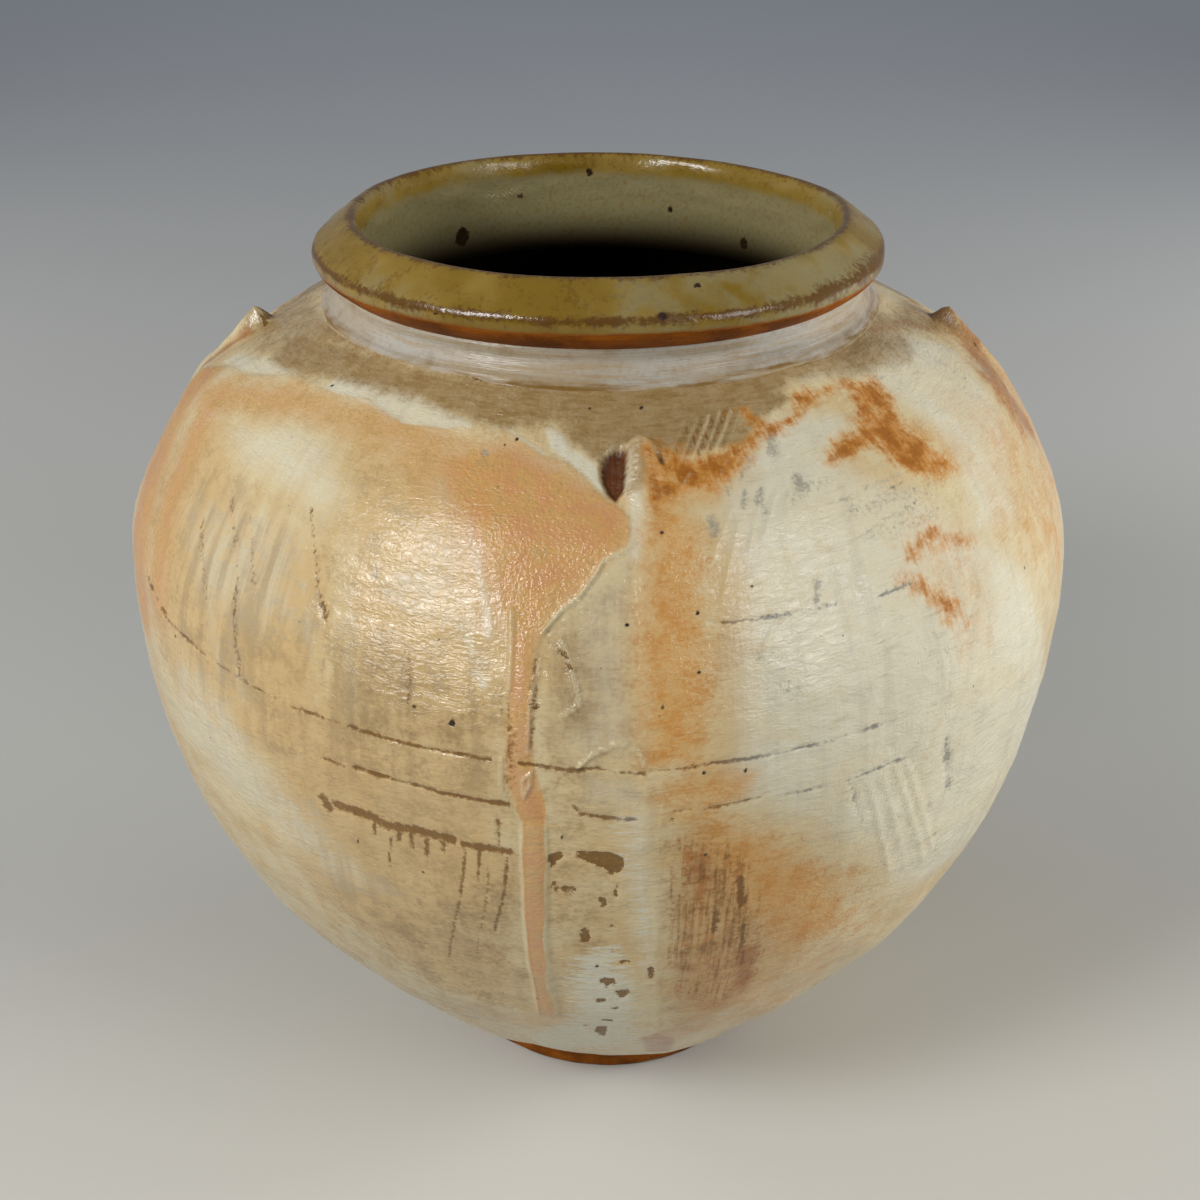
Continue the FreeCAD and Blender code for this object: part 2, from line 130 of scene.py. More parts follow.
# Each soft light: turn from the front and rise in degrees, distance and size in metres, power in watts.
SOFT_LIGHTS = (
    ("key_light", -47.0, 32.0, 1.1, 0.32, 9.0),
    ("side_light", 52.0, 25.0, 1.15, 0.42, 4.4),
    ("left_wash", -105.0, 14.0, 1.3, 0.6, 7.5),
    ("right_wash", 103.0, 3.0, 1.3, 0.6, 21.5),
)
LIGHT_AIM_HEIGHT = 0.18
WORLD_TONE = (0.95, 0.97, 1.0, 1.0)
WORLD_STRENGTH = 0.22
PICTURE_WIDTH = 1200
SENSOR_WIDTH = 36.0

# A mark is a kind, its width in mm, the softness of its edge in mm, its strength and its points.
Mark = namedtuple("Mark", "kind width softness strength points")


def stroke(width, softness, strength, *points):
    """A mark drawn along a line through its points."""
    return Mark("stroke", width, softness, strength, points)


def area(softness, strength, *points):
    """A mark that fills the shape inside its points."""
    return Mark("area", 0.0, softness, strength, points)


def dots(width, softness, strength, *points):
    """A round mark at each of its points."""
    return Mark("dot", width, softness, strength, points)


# Marks of the glaze on the front, among them a painted highlight and painted shade, with points in the frame
# of the photograph, 1200 across and down.
FRONT_MARKS = {
    "run": (
        stroke(4.4, 1.6, 1.0, (534, 830), (535, 860), (536, 905), (539, 950), (544, 985), (547, 1009)),
        stroke(3.6, 2.0, 0.5, (524, 640), (522, 700), (520, 760), (530, 815)),
    ),
    "flow": (
        area(
            0.5, 1.0,
            (120, 500), (165, 420), (185, 385), (206, 368), (232, 367), (250, 376), (293, 377),
            (319, 386), (342, 395), (370, 400), (405, 423), (446, 429), (474, 421), (490, 423),
            (512, 433), (545, 454), (568, 462), (583, 475), (594, 488), (606, 500), (620, 506),
            (629, 518), (630, 536), (625, 549), (604, 558), (594, 577), (579, 596), (552, 615),
            (545, 632), (536, 650), (534, 760), (543, 794), (547, 815), (544, 836), (547, 858),
            (544, 882), (546, 908), (543, 934), (547, 960), (546, 983), (552, 996), (556, 1007),
            (551, 1014), (541, 1013), (536, 998), (534, 976), (528, 955), (528, 930), (524, 906),
            (526, 876), (522, 850), (524, 830), (520, 815), (510, 802), (502, 774), (440, 800),
            (300, 830), (180, 760), (130, 640)
        ),
    ),
    "streaky": (
        area(
            8.0, 0.8,
            (160, 450), (235, 480), (300, 520), (345, 620), (500, 650), (515, 800), (300, 760),
            (180, 660)
        ),
        area(6.0, 0.5, (330, 850), (520, 860), (530, 1000), (420, 980), (300, 880)),
        area(5.0, 0.25, (545, 640), (630, 560), (640, 800), (550, 800)),
    ),
    "buff": (
        area(
            8.0, 0.6,
            (300, 400), (400, 430), (420, 520), (330, 560), (300, 520), (345, 480), (330, 440)
        ),
        area(
            9.0, 0.85,
            (350, 440), (500, 440), (530, 640), (505, 800), (530, 1010), (430, 980), (300, 870),
            (260, 780), (330, 700), (350, 560)
        ),
        area(6.0, 0.8, (205, 375), (300, 385), (400, 430), (380, 470), (300, 415), (200, 415)),
        area(
            8.0, 0.9,
            (150, 430), (230, 420), (260, 520), (340, 540), (340, 640), (300, 780), (180, 700),
            (145, 560)
        ),
        area(5.0, 0.5, (540, 640), (600, 580), (640, 560), (650, 900), (560, 1030), (545, 830)),
        area(10.0, 0.2, (800, 900), (880, 850), (950, 800), (930, 870), (860, 950), (780, 1000)),
        area(
            12.0, 0.7,
            (705, 540), (780, 530), (820, 545), (770, 610), (742, 680), (735, 770), (705, 770)
        ),
        area(8.0, 0.9, (664, 800), (740, 830), (830, 880), (820, 930), (760, 990), (660, 1040)),
    ),
    "warm": (
        stroke(14.0, 7.0, 0.5, (190, 402), (250, 396), (320, 405), (390, 425), (450, 450), (520, 472)),
        area(
            10.0, 0.5,
            (330, 425), (440, 440), (500, 470), (520, 600), (490, 640), (440, 520), (380, 460)
        ),
        area(
            8.0, 1.0,
            (440, 455), (520, 440), (600, 488), (633, 508), (634, 546), (606, 562), (590, 590),
            (545, 625), (530, 650), (512, 640), (495, 600), (480, 550), (450, 510)
        ),
        area(
            1.5, 0.8,
            (512, 620), (536, 640), (534, 760), (545, 800), (522, 817), (505, 780), (508, 700)
        ),
        area(
            0.6, 1.0,
            (516, 792), (545, 790), (549, 815), (548, 908), (549, 983), (558, 1004), (552, 1016),
            (541, 1015), (532, 983), (522, 906), (520, 845)
        ),
        stroke(22.0, 8.0, 1.0, (196, 385), (164, 440), (146, 500), (138, 560), (140, 600)),
        stroke(14.0, 8.0, 0.7, (222, 395), (196, 440), (176, 490), (164, 540), (158, 600)),
        stroke(11.0, 9.0, 0.4, (150, 620), (165, 700), (195, 770)),
    ),
    "orange": (
        area(5.0, 0.7, (672, 462), (752, 448), (740, 476), (720, 506), (690, 516), (670, 500)),
        area(
            14.0, 0.4,
            (955, 405), (1000, 395), (1040, 440), (1062, 500), (1066, 590), (1036, 570), (1005, 510),
            (975, 455)
        ),
        area(
            6.0, 0.45,
            (676, 850), (715, 842), (750, 876), (765, 940), (748, 1000), (690, 1010), (676, 990)
        ),
        area(
            8.0, 0.98,
            (646, 520), (688, 497), (700, 530), (708, 600), (710, 690), (700, 768), (645, 770),
            (636, 650)
        ),
        area(3.0, 0.5, (660, 500), (676, 500), (682, 620), (684, 760), (668, 760), (662, 620)),
        area(5.0, 0.6, (650, 770), (760, 770), (740, 800), (690, 830), (655, 810)),
        area(
            9.0, 0.82,
            (700, 800), (760, 830), (810, 850), (850, 880), (840, 930), (780, 950), (745, 920),
            (690, 850)
        ),
        area(12.0, 0.44, (760, 930), (840, 890), (880, 890), (850, 950), (780, 1010), (710, 1035)),
        area(8.0, 0.5, (670, 940), (760, 960), (800, 970), (740, 1020), (670, 1040)),
        stroke(13.0, 7.0, 0.5, (1004, 400), (1034, 460), (1052, 520), (1058, 570)),
        stroke(9.0, 7.0, 0.42, (950, 440), (985, 480), (1000, 520)),
        stroke(5.0, 4.0, 0.6, (617, 500), (612, 530), (600, 560)),
        area(4.0, 0.8, (644, 455), (676, 450), (690, 500), (664, 540), (646, 540)),
        area(16.0, 0.34, (690, 540), (735, 540), (745, 640), (735, 760), (690, 770)),
        area(
            7.0, 0.32,
            (900, 520), (960, 520), (985, 560), (995, 640), (960, 660), (930, 600), (890, 580)
        ),
        area(6.0, 0.45, (880, 410), (930, 420), (970, 470), (940, 490), (890, 470)),
    ),
    "rust": (
        stroke(2.6, 1.8, 0.75, (646, 450), (652, 478), (656, 498)),
        stroke(3.4, 2.6, 1.0, (704, 468), (728, 457), (748, 447), (755, 436)),
        stroke(2.8, 2.2, 1.0, (741, 413), (757, 421), (762, 432), (780, 424), (800, 412)),
        stroke(4.0, 3.0, 0.9, (668, 450), (672, 470), (668, 488)),
        area(
            3.4, 1.0,
            (660, 444), (684, 449), (705, 458), (738, 452), (758, 434), (742, 420), (765, 428),
            (793, 410), (793, 392), (815, 386), (842, 379), (842, 390), (815, 396), (800, 415),
            (770, 438), (745, 460), (725, 480), (705, 490), (686, 486), (668, 470)
        ),
        area(
            3.6, 1.0,
            (842, 383), (869, 379), (888, 396), (893, 412), (917, 438), (942, 455), (958, 470),
            (926, 476), (893, 466), (878, 447), (842, 456), (829, 460), (830, 448), (850, 428),
            (858, 403)
        ),
        area(
            4.0, 0.62,
            (925, 518), (955, 524), (975, 545), (958, 552), (940, 544), (925, 558), (905, 566),
            (900, 550)
        ),
        area(
            4.0, 0.58,
            (888, 560), (915, 570), (950, 590), (966, 620), (952, 628), (930, 604), (900, 590)
        ),
    ),
    "redden": (
        area(
            3.6, 0.25,
            (645, 452), (654, 450), (663, 464), (668, 490), (660, 516), (652, 530), (648, 500)
        ),
        stroke(9.0, 5.0, 1.1, (950, 324), (966, 341), (979, 360), (993, 380), (1011, 404), (1028, 426)),
        stroke(7.0, 5.0, 0.8, (984, 376), (1000, 398), (1018, 420)),
        stroke(4.0, 3.0, 0.45, (870, 330), (900, 322), (935, 330)),
        area(2.5, 0.85, (732, 948), (762, 944), (754, 968), (745, 990), (734, 985)),
        area(1.6, 0.7, (640, 1036), (660, 1032), (676, 1038), (668, 1048), (646, 1050)),
        area(2.5, 0.7, (685, 852), (705, 848), (712, 880), (700, 900), (688, 880)),
    ),
    "white": (
        area(
            9.0, 1.0,
            (716, 490), (745, 475), (800, 440), (850, 470), (900, 490), (960, 530), (1010, 560),
            (1040, 620), (1045, 700), (1010, 780), (960, 850), (915, 888), (895, 880), (870, 840),
            (800, 815), (752, 790), (736, 760), (742, 640), (738, 560)
        ),
        # Painted highlight: a soft whitening where the key light's gleam falls on the left lobe.
        area(
            16.0, 0.3,
            (390, 520), (470, 500), (530, 560), (530, 640), (470, 690), (410, 660), (385, 590)
        ),
        area(
            5.0, 0.9,
            (765, 425), (800, 412), (836, 412), (850, 424), (828, 445), (800, 470), (752, 480),
            (735, 500), (728, 480), (745, 455)
        ),
        area(
            6.0, 0.8,
            (800, 380), (850, 350), (900, 330), (945, 345), (985, 390), (1005, 440), (1015, 520),
            (975, 530), (950, 450), (900, 400), (860, 372)
        ),
        area(
            9.0, 0.7,
            (226, 430), (262, 424), (300, 430), (330, 450), (343, 496), (325, 516), (298, 500),
            (270, 472), (240, 458)
        ),
        stroke(4.0, 5.0, 0.5, (206, 560), (214, 620), (224, 680)),
        stroke(5.0, 5.0, 0.45, (304, 540), (308, 590), (316, 650)),
        stroke(5.0, 5.0, 0.4, (348, 600), (352, 650), (352, 710)),
        area(8.0, 0.45, (185, 500), (225, 490), (300, 520), (305, 620), (250, 640), (200, 600)),
        stroke(4.0, 4.0, 0.6, (262, 510), (268, 560), (276, 600)),
        stroke(4.0, 5.0, 0.5, (222, 520), (228, 580), (236, 650), (244, 700)),
        stroke(7.0, 6.0, 0.55, (444, 486), (462, 512), (480, 548)),
        area(
            8.0, 0.55,
            (180, 640), (230, 700), (300, 800), (400, 900), (330, 880), (240, 800), (180, 720)
        ),
        area(
            0.6, 1.0,
            (324, 389), (344, 376), (385, 378), (423, 394), (462, 417), (477, 427), (446, 429),
            (405, 423), (360, 401)
        ),
        area(2.0, 0.8, (222, 362), (238, 352), (270, 358), (300, 374), (250, 374)),
        area(
            0.6, 1.0,
            (545, 425), (560, 430), (570, 445), (595, 463), (608, 497), (590, 478), (568, 460),
            (552, 448)
        ),
        stroke(1.1, 0.6, 0.9, (507, 428), (526, 441), (542, 453)),
        area(6.0, 0.46, (556, 640), (590, 590), (632, 560), (638, 760), (560, 760)),
        area(4.0, 0.5, (590, 775), (640, 778), (640, 815), (585, 800)),
        area(
            5.0, 0.62,
            (620, 814), (650, 812), (650, 906), (654, 970), (642, 968), (634, 900), (624, 860)
        ),
        stroke(2.8, 1.6, 0.75, (634, 488), (637, 520), (635, 556)),
        stroke(1.9, 0.8, 0.9, (631, 451), (629, 472), (627, 494)),
        stroke(2.2, 1.4, 0.8, (468, 512), (478, 560), (486, 600), (490, 636)),
        stroke(2.0, 1.2, 0.8, (468, 638), (472, 650)),
        stroke(2.6, 1.4, 0.8, (478, 676), (484, 684)),
        stroke(1.4, 0.8, 0.7, (497, 560), (500, 600), (509, 650)),
    ),
    "tan": (
        area(12.0, 0.36, (340, 650), (400, 670), (480, 665), (500, 740), (440, 780), (350, 750)),
        area(
            4.0, 1.0,
            (300, 330), (350, 345), (430, 368), (522, 382), (602, 382), (669, 371), (730, 364),
            (790, 348), (850, 330), (890, 330), (880, 352), (830, 368), (790, 382), (770, 400),
            (740, 412), (700, 440), (665, 448), (620, 446), (575, 446), (560, 425), (510, 428),
            (470, 420), (420, 400), (360, 385), (300, 374), (270, 360)
        ),
        area(
            6.0, 0.7,
            (252, 326), (292, 296), (322, 286), (345, 318), (420, 350), (400, 372), (330, 352),
            (290, 354), (248, 350)
        ),
        area(2.5, 0.9, (627, 446), (645, 440), (660, 450), (656, 476), (640, 490), (629, 492)),
        area(
            1.6, 0.95,
            (655, 440), (668, 456), (690, 455), (706, 450), (730, 448), (749, 444), (753, 430),
            (762, 415), (792, 398), (775, 388), (700, 408)
        ),
        area(
            1.6, 0.9,
            (556, 422), (572, 440), (590, 457), (601, 462), (606, 452), (614, 445), (600, 434),
            (578, 424)
        ),
        area(
            5.0, 0.85,
            (800, 352), (850, 334), (905, 328), (908, 358), (880, 370), (840, 378), (810, 376)
        ),
        stroke(9.0, 5.0, 0.9, (836, 343), (883, 322), (913, 320), (940, 326)),
        area(
            5.0, 0.8,
            (800, 350), (860, 322), (900, 300), (925, 312), (900, 330), (860, 345), (820, 366)
        ),
        area(5.0, 0.6, (548, 640), (576, 622), (600, 650), (606, 700), (590, 745), (552, 740)),
        stroke(4.0, 3.0, 0.5, (600, 752), (625, 744), (640, 748)),
        area(
            4.0, 0.28,
            (540, 640), (560, 610), (600, 580), (636, 560), (640, 700), (640, 800), (600, 830),
            (545, 830)
        ),
        area(
            5.0, 0.25,
            (548, 830), (600, 850), (620, 900), (600, 950), (560, 1000), (552, 990), (549, 900)
        ),
        area(
            6.0, 0.3,
            (300, 920), (420, 900), (515, 860), (524, 960), (535, 1020), (440, 1010), (350, 960)
        ),
        area(
            5.0, 0.4,
            (664, 830), (720, 836), (758, 870), (766, 930), (740, 1000), (700, 1030), (664, 1030)
        ),
    ),
    "combed": (
        stroke(0.8, 0.6, 0.7, (686, 454), (703, 416)),
        stroke(0.8, 0.6, 0.7, (698, 452), (714, 414)),
        stroke(0.8, 0.6, 0.6, (709, 448), (725, 412)),
        stroke(0.8, 0.6, 0.5, (674, 452), (690, 420)),
        area(
            5.0, 0.36,
            (672, 845), (715, 838), (748, 872), (760, 940), (748, 985), (700, 1005), (672, 990)
        ),
        area(3.0, 0.42, (700, 850), (745, 870), (748, 930), (712, 930)),
    ),
    "wash": (
        area(
            4.0, 1.0,
            (582, 952), (616, 950), (630, 990), (630, 1040), (565, 1048), (528, 1044), (578, 1012),
            (572, 980)
        ),
        area(
            4.0, 0.2,
            (614, 820), (640, 814), (648, 900), (652, 970), (640, 968), (630, 900), (618, 860)
        ),
    ),
    "brown": (
        stroke(2.4, 0.9, 1.0, (336, 805), (372, 818), (384, 826), (417, 832), (451, 840)),
        stroke(2.6, 0.9, 0.9, (322, 798), (329, 808)),
        stroke(1.9, 0.8, 1.0, (464, 845), (490, 847), (511, 850)),
        stroke(1.2, 0.6, 0.9, (398, 826), (399, 842)),
        stroke(1.1, 0.6, 0.9, (374, 818), (374, 834)),
        stroke(1.2, 0.6, 0.9, (426, 834), (427, 856)),
        stroke(1.1, 0.6, 0.8, (410, 830), (411, 848)),
        stroke(1.2, 0.6, 0.8, (442, 838), (443, 850)),
        stroke(1.0, 0.6, 0.9, (498, 820), (500, 850)),
        stroke(0.7, 0.5, 0.8, (390, 838), (389, 868)),
        stroke(0.8, 0.6, 0.75, (509, 852), (505, 890), (496, 928)),
        stroke(0.8, 0.6, 0.7, (466, 852), (461, 900), (448, 960)),
        stroke(0.7, 0.6, 0.6, (490, 870), (485, 910), (476, 955)),
        stroke(0.6, 0.5, 0.7, (480, 851), (478, 880)),
        stroke(0.9, 0.7, 0.8, (312, 508), (318, 560), (325, 618)),
        stroke(1.6, 1.2, 0.4, (232, 500), (240, 560), (236, 620), (243, 680)),
        stroke(1.4, 1.2, 0.35, (252, 520), (257, 590)),
        stroke(1.6, 1.2, 0.35, (205, 520), (208, 600)),
        stroke(1.2, 1.0, 0.5, (408, 650), (411, 700)),
        stroke(1.6, 0.8, 0.6, (537, 660), (533, 705), (531, 745)),
        stroke(2.5, 2.0, 0.5, (508, 690), (512, 740), (510, 790)),
        stroke(1.8, 0.8, 1.0, (740, 880), (742, 905)),
        stroke(1.8, 0.8, 0.8, (716, 915), (715, 930)),
        stroke(1.4, 0.8, 0.8, (742, 925), (742, 965)),
    ),
    "chip_and_shade": (
        area(0.4, 1.0, (548, 854), (560, 851), (566, 855), (556, 861), (552, 868)),
        area(
            0.4, 1.0,
            (569, 848), (589, 851), (614, 853), (624, 860), (621, 873), (612, 876), (604, 866),
            (592, 864), (577, 857)
        ),
        area(0.4, 0.9, (551, 880), (560, 886), (576, 888), (577, 894), (566, 893), (556, 890)),
        stroke(1.2, 0.4, 0.9, (602, 900), (604, 907)),
        stroke(1.1, 0.4, 0.9, (617, 889), (616, 896)),
        stroke(1.0, 0.4, 0.9, (606, 926), (613, 928)),
        stroke(1.8, 0.4, 0.9, (582, 935), (587, 938)),
        stroke(1.0, 0.4, 0.9, (622, 963), (627, 963)),
        stroke(1.0, 0.4, 0.9, (602, 983), (612, 983)),
        stroke(1.3, 0.4, 0.9, (618, 994), (626, 993)),
        stroke(1.2, 0.4, 0.9, (599, 1001), (603, 1000)),
        stroke(1.0, 0.4, 0.9, (603, 1021), (611, 1021)),
        stroke(1.3, 0.4, 0.9, (598, 1032), (605, 1032)),
        stroke(1.0, 0.4, 0.9, (651, 969), (652, 976)),
        stroke(0.9, 0.4, 0.8, (612, 951), (619, 951)),
        area(0.4, 0.95, (600, 980), (613, 979), (616, 984), (607, 987)),
        area(0.4, 0.95, (617, 991), (628, 990), (627, 998), (620, 999)),
        area(0.4, 0.95, (596, 1029), (607, 1028), (606, 1036), (599, 1036)),
        area(0.4, 0.9, (580, 929), (590, 931), (589, 942), (582, 941)),
        area(0.4, 0.85, (598, 896), (606, 897), (607, 908), (601, 909)),
        stroke(0.9, 0.4, 0.8, (607, 972), (613, 972)),
        stroke(0.9, 0.4, 0.8, (588, 1011), (595, 1011)),
        stroke(0.9, 0.4, 0.8, (612, 1009), (617, 1009)),
        stroke(0.9, 0.4, 0.8, (584, 1026), (590, 1026)),
        stroke(1.4, 0.4, 0.8, (563, 650), (570, 664)),
        stroke(1.2, 0.5, 0.8, (534, 700), (537, 706)),
        area(0.5, 0.7, (455, 371), (480, 375), (522, 382), (515, 383), (478, 379)),
    ),
    "score": (
        stroke(0.8, 0.5, 0.9, (148, 572), (151, 582), (173, 624), (196, 647)),
        stroke(0.6, 0.5, 0.6, (196, 647), (215, 661), (241, 679), (271, 695), (291, 705), (342, 723)),
        stroke(0.9, 0.45, 1.0, (350, 726), (384, 737), (417, 745), (443, 751), (473, 755), (490, 759)),
        stroke(0.8, 0.5, 0.9, (520, 762), (540, 765), (571, 770), (597, 768), (620, 772), (644, 774)),
        stroke(0.7, 0.5, 0.85, (650, 772), (675, 769), (705, 764), (744, 759), (786, 751), (811, 745)),
        stroke(0.6, 0.6, 0.6, (811, 745), (848, 734), (876, 725)),
        stroke(0.5, 0.5, 0.4, (876, 725), (935, 703)),
        stroke(0.7, 0.5, 0.7, (322, 758), (344, 766)),
        stroke(1.0, 0.5, 1.0, (355, 768), (400, 782), (429, 789), (465, 797), (507, 803)),
        stroke(0.9, 0.5, 0.9, (573, 806), (580, 813), (601, 817), (634, 819)),
        stroke(0.6, 0.5, 0.8, (675, 812), (713, 807), (761, 797)),
        stroke(0.7, 0.5, 0.7, (785, 794), (820, 786)),
        stroke(0.8, 0.5, 0.8, (846, 778), (890, 762), (904, 758)),
        stroke(0.6, 0.5, 0.75, (708, 623), (735, 622), (766, 617), (800, 612), (836, 603)),
        stroke(0.7, 0.4, 0.9, (878, 595), (912, 582)),
        stroke(0.8, 0.5, 0.5, (848, 779), (862, 832)),
        stroke(0.9, 0.7, 0.4, (915, 765), (927, 800), (935, 849)),
        stroke(2.5, 1.6, 0.6, (946, 740), (949, 787)),
        stroke(0.5, 0.4, 0.5, (875, 518), (924, 497)),
        stroke(0.5, 0.4, 0.4, (848, 505), (905, 482)),
        stroke(0.6, 0.4, 0.6, (672, 818), (683, 855)),
        stroke(1.4, 0.5, 0.9, (324, 604), (327, 618)),
    ),
    "ridge": (
        stroke(0.6, 0.7, 0.55, (866, 782), (878, 830), (888, 872)),
        stroke(0.6, 0.7, 0.55, (894, 766), (910, 818), (922, 862)),
        stroke(0.6, 0.7, 0.5, (905, 762), (920, 808), (931, 850)),
        stroke(0.6, 0.7, 0.4, (880, 775), (894, 826), (904, 868)),
        stroke(0.6, 0.7, 0.4, (760, 660), (766, 640), (776, 622)),
        stroke(0.6, 0.6, 0.5, (748, 548), (756, 516), (764, 490)),
        stroke(0.5, 0.6, 0.5, (762, 540), (770, 512), (776, 490)),
        stroke(0.6, 0.6, 0.45, (712, 556), (722, 530), (730, 508)),
        stroke(0.6, 0.6, 0.4, (720, 604), (728, 564), (736, 528)),
        stroke(0.6, 0.6, 0.4, (786, 500), (800, 484), (812, 478)),
        stroke(0.5, 0.6, 0.4, (669, 454), (677, 436), (684, 420)),
        stroke(0.6, 0.6, 0.55, (681, 460), (689, 438), (697, 417)),
        stroke(0.8, 0.6, 0.7, (692, 460), (701, 437), (708, 415)),
        stroke(0.6, 0.6, 0.7, (704, 454), (712, 434), (719, 412)),
        stroke(0.8, 0.6, 0.75, (714, 450), (723, 430), (730, 411)),
        stroke(0.5, 0.6, 0.55, (725, 446), (733, 428), (740, 410)),
        stroke(0.5, 0.6, 0.5, (739, 426), (748, 406)),
        stroke(0.5, 0.6, 0.45, (753, 428), (764, 402)),
        stroke(0.5, 0.6, 0.4, (766, 425), (778, 398)),
        stroke(0.7, 0.6, 0.5, (676, 500), (683, 484), (690, 472)),
        stroke(0.6, 0.6, 0.5, (719, 476), (726, 460)),
        stroke(
            0.8, 0.4, 1.0,
            (545, 630), (560, 612), (579, 597), (594, 577), (604, 560), (624, 550), (633, 543)
        ),
        stroke(0.7, 0.4, 0.9, (562, 641), (568, 655), (574, 680), (580, 704), (562, 716)),
        stroke(0.7, 0.4, 0.7, (540, 660), (537, 676), (531, 701), (528, 753)),
        stroke(0.8, 0.4, 0.9, (577, 768), (590, 756), (601, 750), (620, 742), (638, 750), (644, 765)),
        stroke(0.6, 0.4, 0.9, (524, 796), (523, 778), (531, 772), (530, 784), (524, 796)),
        stroke(0.8, 0.5, 0.9, (512, 610), (512, 650), (510, 690)),
        stroke(
            0.6, 0.4, 0.9,
            (502, 758), (502, 793), (512, 809), (523, 820), (523, 860), (525, 906), (529, 955),
            (535, 985), (540, 1012)
        ),
        stroke(
            0.5, 0.4, 0.8,
            (546, 812), (547, 860), (546, 937), (549, 983), (556, 1004), (553, 1014), (541, 1014)
        ),
        stroke(0.8, 0.9, 0.45, (655, 900), (658, 930), (654, 961), (657, 1000), (653, 1032)),
        stroke(1.8, 1.4, 0.28, (642, 580), (644, 650), (645, 760), (648, 840)),
        stroke(0.7, 0.6, 0.35, (661, 780), (664, 800), (661, 826)),
    ),
    # Finger marks beside the front nub, sunk, and painted as bare clay darkened with painted shade.
    "hollow": (
        area(
            1.1, 1.0,
            (601, 463), (605, 454), (612, 448), (620, 446), (627, 450), (626, 472), (624, 488),
            (616, 498), (608, 491), (602, 478)
        ),
        area(0.9, 0.6, (655, 451), (664, 456), (665, 464), (658, 462)),
    ),
    "grey": (
        stroke(3.0, 2.4, 0.34, (850, 512), (890, 496), (930, 488)),
        stroke(2.4, 2.0, 0.3, (868, 536), (904, 520), (940, 508)),
        stroke(2.4, 2.0, 0.3, (790, 500), (806, 488), (830, 480)),
        stroke(1.6, 0.9, 0.8, (771, 437), (769, 452)),
        stroke(1.4, 0.8, 0.7, (745, 492), (741, 505)),
        stroke(2.2, 1.0, 0.8, (796, 478), (800, 488), (807, 486)),
        stroke(2.4, 1.0, 0.8, (711, 521), (714, 533)),
        stroke(1.2, 0.8, 0.7, (760, 500), (766, 512)),
        stroke(1.8, 0.8, 0.8, (817, 583), (816, 597)),
        stroke(1.6, 0.6, 0.8, (486, 451), (487, 453)),
        stroke(2.0, 0.7, 0.7, (712, 523), (714, 531)),
        stroke(1.4, 0.7, 0.7, (760, 488), (756, 502)),
        stroke(1.2, 0.6, 0.6, (729, 482), (727, 492)),
        stroke(2.0, 0.7, 0.7, (797, 476), (801, 486)),
        stroke(1.8, 0.9, 0.7, (818, 580), (816, 600)),
        stroke(1.8, 1.0, 0.5, (759, 656), (760, 658)),
        stroke(1.6, 1.0, 0.5, (772, 654), (773, 657)),
        stroke(3.0, 2.0, 0.45, (783, 688), (792, 694)),
        stroke(1.8, 1.0, 0.5, (776, 445), (772, 455)),
        stroke(1.0, 0.6, 0.5, (748, 458), (740, 480)),
        stroke(1.2, 0.6, 0.8, (376, 575), (378, 577)),
        stroke(0.6, 0.7, 0.5, (838, 500), (870, 484), (902, 474)),
        stroke(0.5, 0.6, 0.5, (856, 508), (890, 492), (926, 484)),
        stroke(0.6, 0.7, 0.5, (872, 526), (905, 508), (938, 498)),
        stroke(0.5, 0.6, 0.45, (884, 540), (915, 524), (944, 514)),
        stroke(0.6, 0.7, 0.4, (930, 632), (945, 654), (950, 668)),
        stroke(0.5, 0.7, 0.4, (916, 640), (930, 656), (934, 664)),
    ),
    "speck": (
        dots(0.9, 0.4, 1.0, (334, 387), (341, 396), (517, 440), (499, 485), (439, 641)),
        dots(1.7, 0.4, 1.0, (453, 722)),
        dots(
            0.9, 0.4, 1.0,
            (215, 707), (175, 636), (641, 407), (579, 420), (590, 409), (580, 381), (562, 383)
        ),
        dots(
            1.0, 0.4, 1.0,
            (627, 625), (661, 534), (697, 613), (699, 672), (704, 773), (745, 770), (706, 857)
        ),
        dots(
            0.8, 0.4, 1.0,
            (800, 837), (562, 836), (613, 836), (580, 873), (597, 966), (503, 993), (938, 478)
        ),
        dots(
            1.0, 0.5, 0.8,
            (336, 832), (339, 862), (358, 841), (415, 852), (351, 916), (302, 621), (663, 707)
        ),
    ),
}
